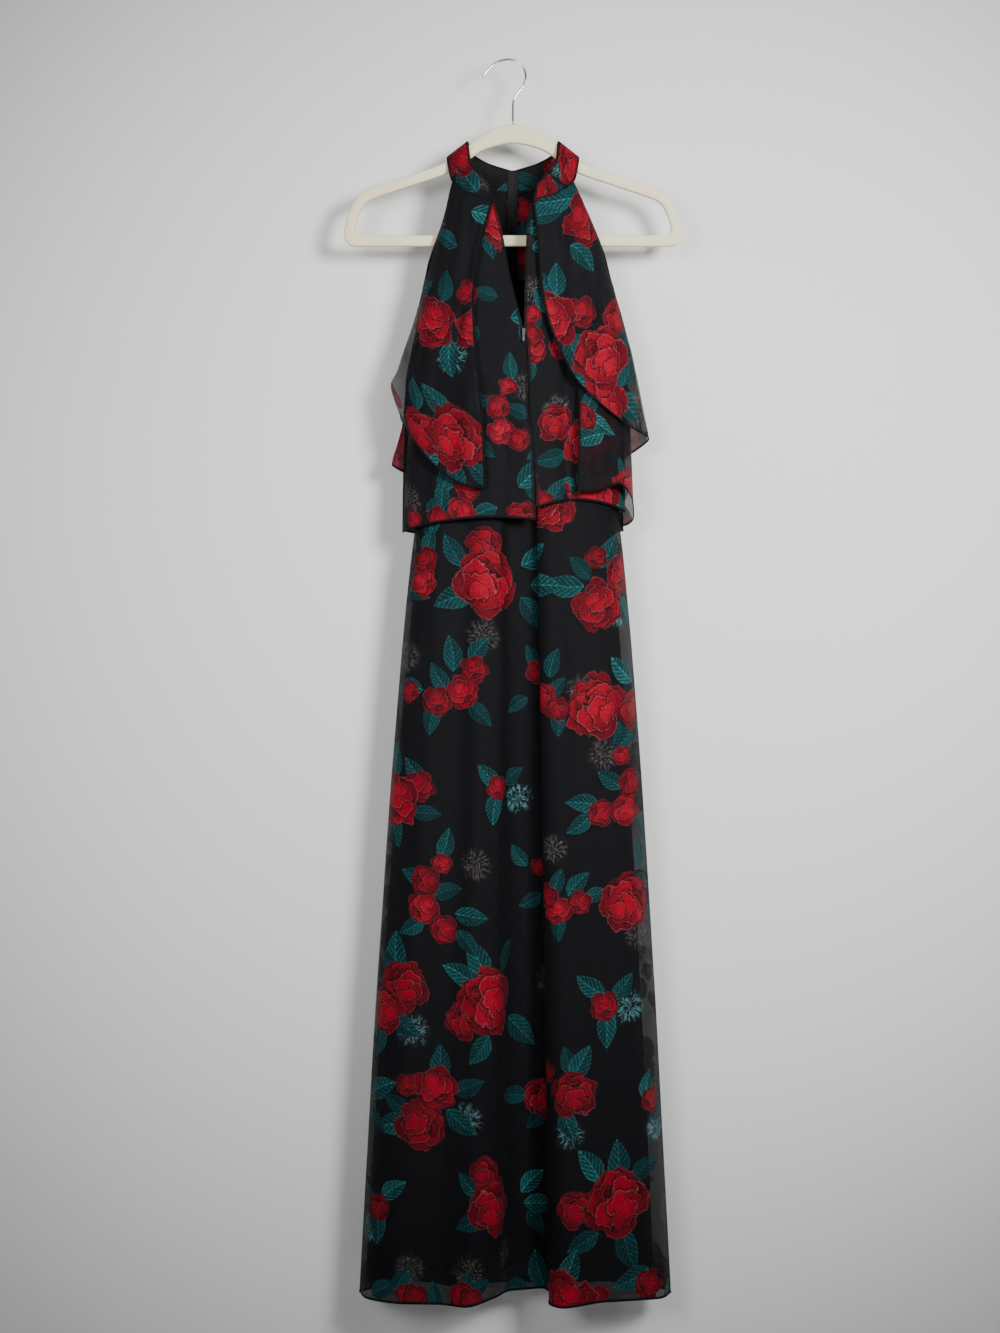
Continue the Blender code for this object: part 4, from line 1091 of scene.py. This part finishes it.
dress_piece("skirt_front_cloth",
            gown(SKIRT_FRONT, n(230), n(250), HEM_Z,
                 wave=(2, 0, 0, -4, -3, 6, 2, 0, 3, 2, -4, -4, 3, 1, 0)),
            M_SKIRT, "skirt_front", lay_print("skirt_front"), seed=0.6, rough=0.45)
back = gown(SKIRT_BACK, n(241), n(180), HEM_Z, wave=(0, -3, 2, 4, -4, 0, -3, 4, 2, -2, 0))
middle = back.shape[1] // 2
left_half, right_half = back[:, :middle + 1].copy(), back[:, middle:].copy()
left_half[:, -1, 0] -= 0.2
right_half[:, 0, 0] += 0.2
for side, half in (("left", left_half), ("right", right_half)):
    dress_piece(f"skirt_back_{side}_cloth", half, M_SKIRT, f"skirt_back_{side}",
                lay_print("skirt_back"), behind=True, seed=1.3, rough=0.45)
dress_piece("lining_front_cloth",
            gown(LINING_FRONT, n(130), n(110), LINING_HEM_Z,
                 wave=(0, -9, 4, -2, -6, 3, 6, 9, 7, 2, -2, -1, 5, -5, 3)),
            M_LINING, "lining_front", seed=2.2, rough=0.6, hem_runs=())
dress_piece("lining_back_cloth",
            gown(LINING_BACK, n(110), n(100), LINING_HEM_Z, wave=(0, 4, -4, 2, 5, -3, 3, -4, 0)),
            M_LINING, "lining_back", seed=3.1, rough=0.6, hem_runs=())

dress_piece("bodice_front_left_cloth", panel(BODICE_FRONT_LEFT, n(100), n(150), 0, -1, -1),
            M_BODICE, "bodice_front_left", lay_print("bodice_front_left"),
            hems=("bottom", "inner", "outer"), hem_runs=(("bottom",),), seed=0.2)
dress_piece("bodice_front_right_cloth",
            panel(BODICE_FRONT_RIGHT, n(100), n(150), 0, -1, 1, folds=((0.42, 0.10, 3.0, -240.0),)),
            M_BODICE, "bodice_front_right", lay_print("bodice_front_right"),
            hems=("bottom", "inner", "outer"), hem_runs=(("bottom",),), seed=0.9)
for side, sign in (("left", -1), ("right", 1)):
    dress_piece(f"bodice_back_{side}_cloth", panel(BODICE_BACK, n(90), n(130), 0, 1, sign),
                M_BODICE, f"bodice_back_{side}", lay_print("bodice_back"), behind=True,
                hems=("bottom", "outer"), hem_runs=(("bottom",),), seed=1.6 + sign)

dress_piece("cape_front_left_cloth",
            round_corner(panel(CAPE_FRONT_LEFT, n(110), n(150), 1, -1, -1,
                               folds=((0.22, 0.10, 3.0, -260.0),)), 0.16, 0.10),
            M_SHEER, "cape_front_left", lay_print("cape_front_left"), hems=("bottom", "inner"),
            hem_runs=(("inner",), ("bottom",)), seed=0.4, rough=0.6)
dress_piece("cape_front_right_cloth",
            round_corner(panel(CAPE_FRONT_RIGHT, n(110), n(140), 1, -1, 1), 0.20, 0.13),
            M_SHEER, "cape_front_right", lay_print("cape_front_right"), hems=("bottom", "inner"),
            hem_runs=(("inner",), ("bottom",)), seed=1.1, rough=0.6)
for side, sign, table in (("left", -1, CAPE_BACK_LEFT), ("right", 1, CAPE_BACK_RIGHT)):
    dress_piece(f"cape_back_{side}_cloth",
                round_corner(panel(table, n(90), n(120), 1, 1, sign,
                                   folds=((0.45, 0.12, 3.0, -240.0),)), 0.12, 0.06),
                "doubled" if sign < 0 else M_SHEER, f"cape_back_{side}", lay_print("cape_back"), behind=True,
                hems=("bottom", "inner"), hem_runs=(("inner",), ("bottom",)),
                seed=2.0 + sign, rough=0.6)
dress_piece("cascade_right_cloth", ruled(CASCADE, n(110), n(80)), M_SHEER, "cascade_right",
            lay_print("cascade_right"), hems=("bottom", "inner", "outer"),
            hem_runs=(("inner",), ("bottom",)), seed=1.8)

for side, mirror in (("left", 1.0), ("right", -1.0)):
    dress_piece(f"collar_{side}_cloth", ruled(COLLAR, n(150), n(30), mirror=mirror), M_COLLAR,
                f"collar_{side}", lay_print(f"collar_{side}"),
                hems=("top", "bottom", "inner", "outer"), hem_runs=(), seed=0.5, rough=0.15,
                wall=2.2)

# ------------------------------------------------------------------ hanger
def hanger_frame():
    half = list(HANGER)
    loop = half + [(-ox, oz, -ix, iz) for ox, oz, ix, iz in reversed(half[1:-1])]
    closed = np.array(loop + loop[:1], float)
    count = len(loop)
    fine_t = np.linspace(0, 1, count * 10 + 1)[:-1]
    ext = np.vstack([closed[-3:-1], closed, closed[1:3]])
    pos = fine_t * count
    i = pos.astype(int)
    f = (pos - i)[:, None]
    a, b, c, d = ext[i + 1], ext[i + 2], ext[i + 3], ext[i + 4]
    m1, m2 = 0.42 * (c - a), 0.42 * (d - b)
    rows = ((2 * f ** 3 - 3 * f ** 2 + 1) * b + (f ** 3 - 2 * f ** 2 + f) * m1
            + (3 * f ** 2 - 2 * f ** 3) * c + (f ** 3 - f ** 2) * m2)
    ring = 20
    ang = np.arange(ring) / ring * 2 * math.pi
    a = 0.5 + 0.5 * np.sign(np.cos(ang)) * np.abs(np.cos(ang)) ** 0.62
    b = np.sign(np.sin(ang)) * np.abs(np.sin(ang)) ** 0.55 * 4.5
    x = rows[:, 2:3] + (rows[:, 0:1] - rows[:, 2:3]) * a[None]
    z = rows[:, 3:4] + (rows[:, 1:2] - rows[:, 3:4]) * a[None]
    y = np.broadcast_to(b[None], x.shape)
    pts = np.stack([x + CENTRE_X, y, z], axis=-1).reshape(-1, 3) * MM
    rows_n = len(rows)
    i = (np.arange(rows_n)[:, None] * ring + np.arange(ring)[None])
    j = (np.arange(rows_n)[:, None] * ring + (np.arange(ring)[None] + 1) % ring)
    k = ((np.arange(rows_n)[:, None] + 1) % rows_n) * ring
    quads = np.stack([i, j, k + (np.arange(ring)[None] + 1) % ring, k + np.arange(ring)[None]],
                     axis=-1).reshape(-1, 4)
    mesh = mesh_from("hanger_frame", pts, quads)
    bm = bmesh.new()
    bm.from_mesh(mesh)
    bmesh.ops.recalc_face_normals(bm, faces=bm.faces)
    bm.to_mesh(mesh)
    bm.free()
    obj = bpy.data.objects.new("hanger_frame", mesh)
    bpy.context.scene.collection.objects.link(obj)
    mesh.materials.append(M_FLOCK)
    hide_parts("hanger")
    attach(obj, ROOT)
    return obj


hanger_frame()


def hook_wire():
    line = spline(HOOK, np.linspace(0, 1, 120))
    ring = 18
    radius = 1.6
    tangent = np.gradient(line, axis=0)
    tangent /= np.linalg.norm(tangent, axis=1, keepdims=True)
    side = np.stack([-tangent[:, 1], tangent[:, 0]], axis=1)
    # rounded tip
    caps = [(-1.5, 0.35), (-1.1, 0.72), (-0.5, 0.95)]
    centres = [line[0] + tangent[0] * dz for dz, _ in caps] + list(line)
    scale = [s for _, s in caps] + [1.0] * len(line)
    sides = [side[0]] * 3 + list(side)
    ang = np.arange(ring) / ring * 2 * math.pi
    pts = []
    for c, s, sd in zip(centres, scale, sides):
        for a in ang:
            pts.append((c[0] + sd[0] * math.cos(a) * radius * s, math.sin(a) * radius * s,
                        c[1] + sd[1] * math.cos(a) * radius * s))
    pts = np.array(pts) * MM
    count = len(centres)
    i = np.arange(count - 1)[:, None] * ring + np.arange(ring)[None]
    j = np.arange(count - 1)[:, None] * ring + (np.arange(ring)[None] + 1) % ring
    quads = np.stack([i, j, j + ring, i + ring], axis=-1).reshape(-1, 4)
    mesh = mesh_from("hook_wire", pts, quads)
    bm = bmesh.new()
    bm.from_mesh(mesh)
    bmesh.ops.holes_fill(bm, edges=[e for e in bm.edges if e.is_boundary], sides=ring)
    bmesh.ops.recalc_face_normals(bm, faces=bm.faces)
    bm.to_mesh(mesh)
    bm.free()
    obj = bpy.data.objects.new("hook_wire", mesh)
    bpy.context.scene.collection.objects.link(obj)
    mesh.materials.append(M_CHROME)
    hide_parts("hook")
    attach(obj, ROOT)
    return obj


hook_wire()

# -------------------------------------------------------- zips, carried over
for name, mat in (("zip_tape", M_TAPE), ("front_zip_slider", M_ZIP), ("front_zip_pull", M_ZIP),
                  ("back_zip_slider", M_ZIP), ("back_zip_pull", M_ZIP)):
    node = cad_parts[name]
    for k in range(len(node.material_slots)):
        node.material_slots[k].link = "OBJECT"
        node.material_slots[k].material = mat

# ------------------------------------------------------ room, light, camera
def wall_material():
    mat = bpy.data.materials.new("studio_wall")
    mat.use_nodes = True
    net = Net(mat.node_tree)
    shader = mat.node_tree.nodes["Principled BSDF"]
    out = mat.node_tree.nodes["Material Output"]
    place = net.node("ShaderNodeTexCoord").outputs["Object"]
    tone = net.noise(place, 1.4, 3.0, 0.5)
    net.put(shader.inputs["Base Color"], net.mix(tone, (0.76, 0.76, 0.757, 1.0), (0.80, 0.80, 0.797, 1.0)))
    shader.inputs["Roughness"].default_value = 0.9
    shader.inputs["Specular IOR Level"].default_value = 0.1
    clear = net.node("ShaderNodeBsdfTransparent")
    facing = net.node("ShaderNodeNewGeometry").outputs["Backfacing"]
    mix = net.node("ShaderNodeMixShader")
    net.put(mix.inputs[0], facing)
    net.tree.links.new(shader.outputs[0], mix.inputs[1])
    net.tree.links.new(clear.outputs[0], mix.inputs[2])
    net.tree.links.new(mix.outputs[0], out.inputs[0])
    return mat


def plane(name, corners, mat):
    mesh = bpy.data.meshes.new(name)
    mesh.from_pydata(corners, [], [(0, 1, 2, 3)])
    mesh.materials.append(mat)
    obj = bpy.data.objects.new(name, mesh)
    bpy.context.scene.collection.objects.link(obj)
    return obj


M_WALL = wall_material()
WALL_Y, FLOOR_Z = 0.074, -1.95
plane("studio_wall", [(-5, WALL_Y, FLOOR_Z), (5, WALL_Y, FLOOR_Z), (5, WALL_Y, 4), (-5, WALL_Y, 4)], M_WALL)
plane("studio_floor", [(-5, -5, FLOOR_Z), (5, -5, FLOOR_Z), (5, 5, FLOOR_Z), (-5, 5, FLOOR_Z)], M_WALL)


def area_light(name, place, target, size, power, colour):
    data = bpy.data.lights.new(name, "AREA")
    data.shape = "RECTANGLE"
    data.size, data.size_y = size
    data.energy = power
    data.color = colour
    obj = bpy.data.objects.new(name, data)
    bpy.context.scene.collection.objects.link(obj)
    obj.location = place
    way = Vector(target) - Vector(place)
    obj.rotation_euler = way.to_track_quat("-Z", "Y").to_euler()
    return obj


def spot_light(name, place, target, radius, cone, power, colour):
    data = bpy.data.lights.new(name, "SPOT")
    data.shadow_soft_size = radius
    data.spot_size = math.radians(cone)
    data.spot_blend = 1.0
    data.energy = power
    data.color = colour
    obj = bpy.data.objects.new(name, data)
    bpy.context.scene.collection.objects.link(obj)
    obj.location = place
    obj.rotation_euler = (Vector(target) - Vector(place)).to_track_quat("-Z", "Y").to_euler()
    return obj


spot_light("key", (0.95, -2.0, -0.15), (0.18, 0.07, -0.60), 0.30, 66, 300.0, (1.0, 0.995, 0.985))
spot_light("fill", (-0.75, -2.3, -0.35), (0.04, 0.07, -0.62), 0.45, 64, 152.0, (0.98, 0.99, 1.0))
area_light("top", (0.2, -0.7, 0.9), (0, 0, -0.3), (0.8, 0.5), 2.0, (1.0, 1.0, 1.0))

world = bpy.data.worlds.new("studio")
world.use_nodes = True
background = world.node_tree.nodes["Background"]
background.inputs[0].default_value = (0.97, 0.98, 1.0, 1.0)
background.inputs[1].default_value = 0.125
bpy.context.scene.world = world

bpy.context.scene.cycles.transparent_max_bounces = 24

camera_data = bpy.data.cameras.new("camera")
camera_data.sensor_width = 36.0
camera_data.lens = 36.0 * (-CAM_Y) / VIEW_TALL
camera = bpy.data.objects.new("camera", camera_data)
bpy.context.scene.collection.objects.link(camera)
camera.location = (CAM_X * MM, CAM_Y * MM, CAM_Z * MM)
camera.rotation_euler = (math.pi / 2, 0.0, 0.0)
bpy.context.scene.camera = camera
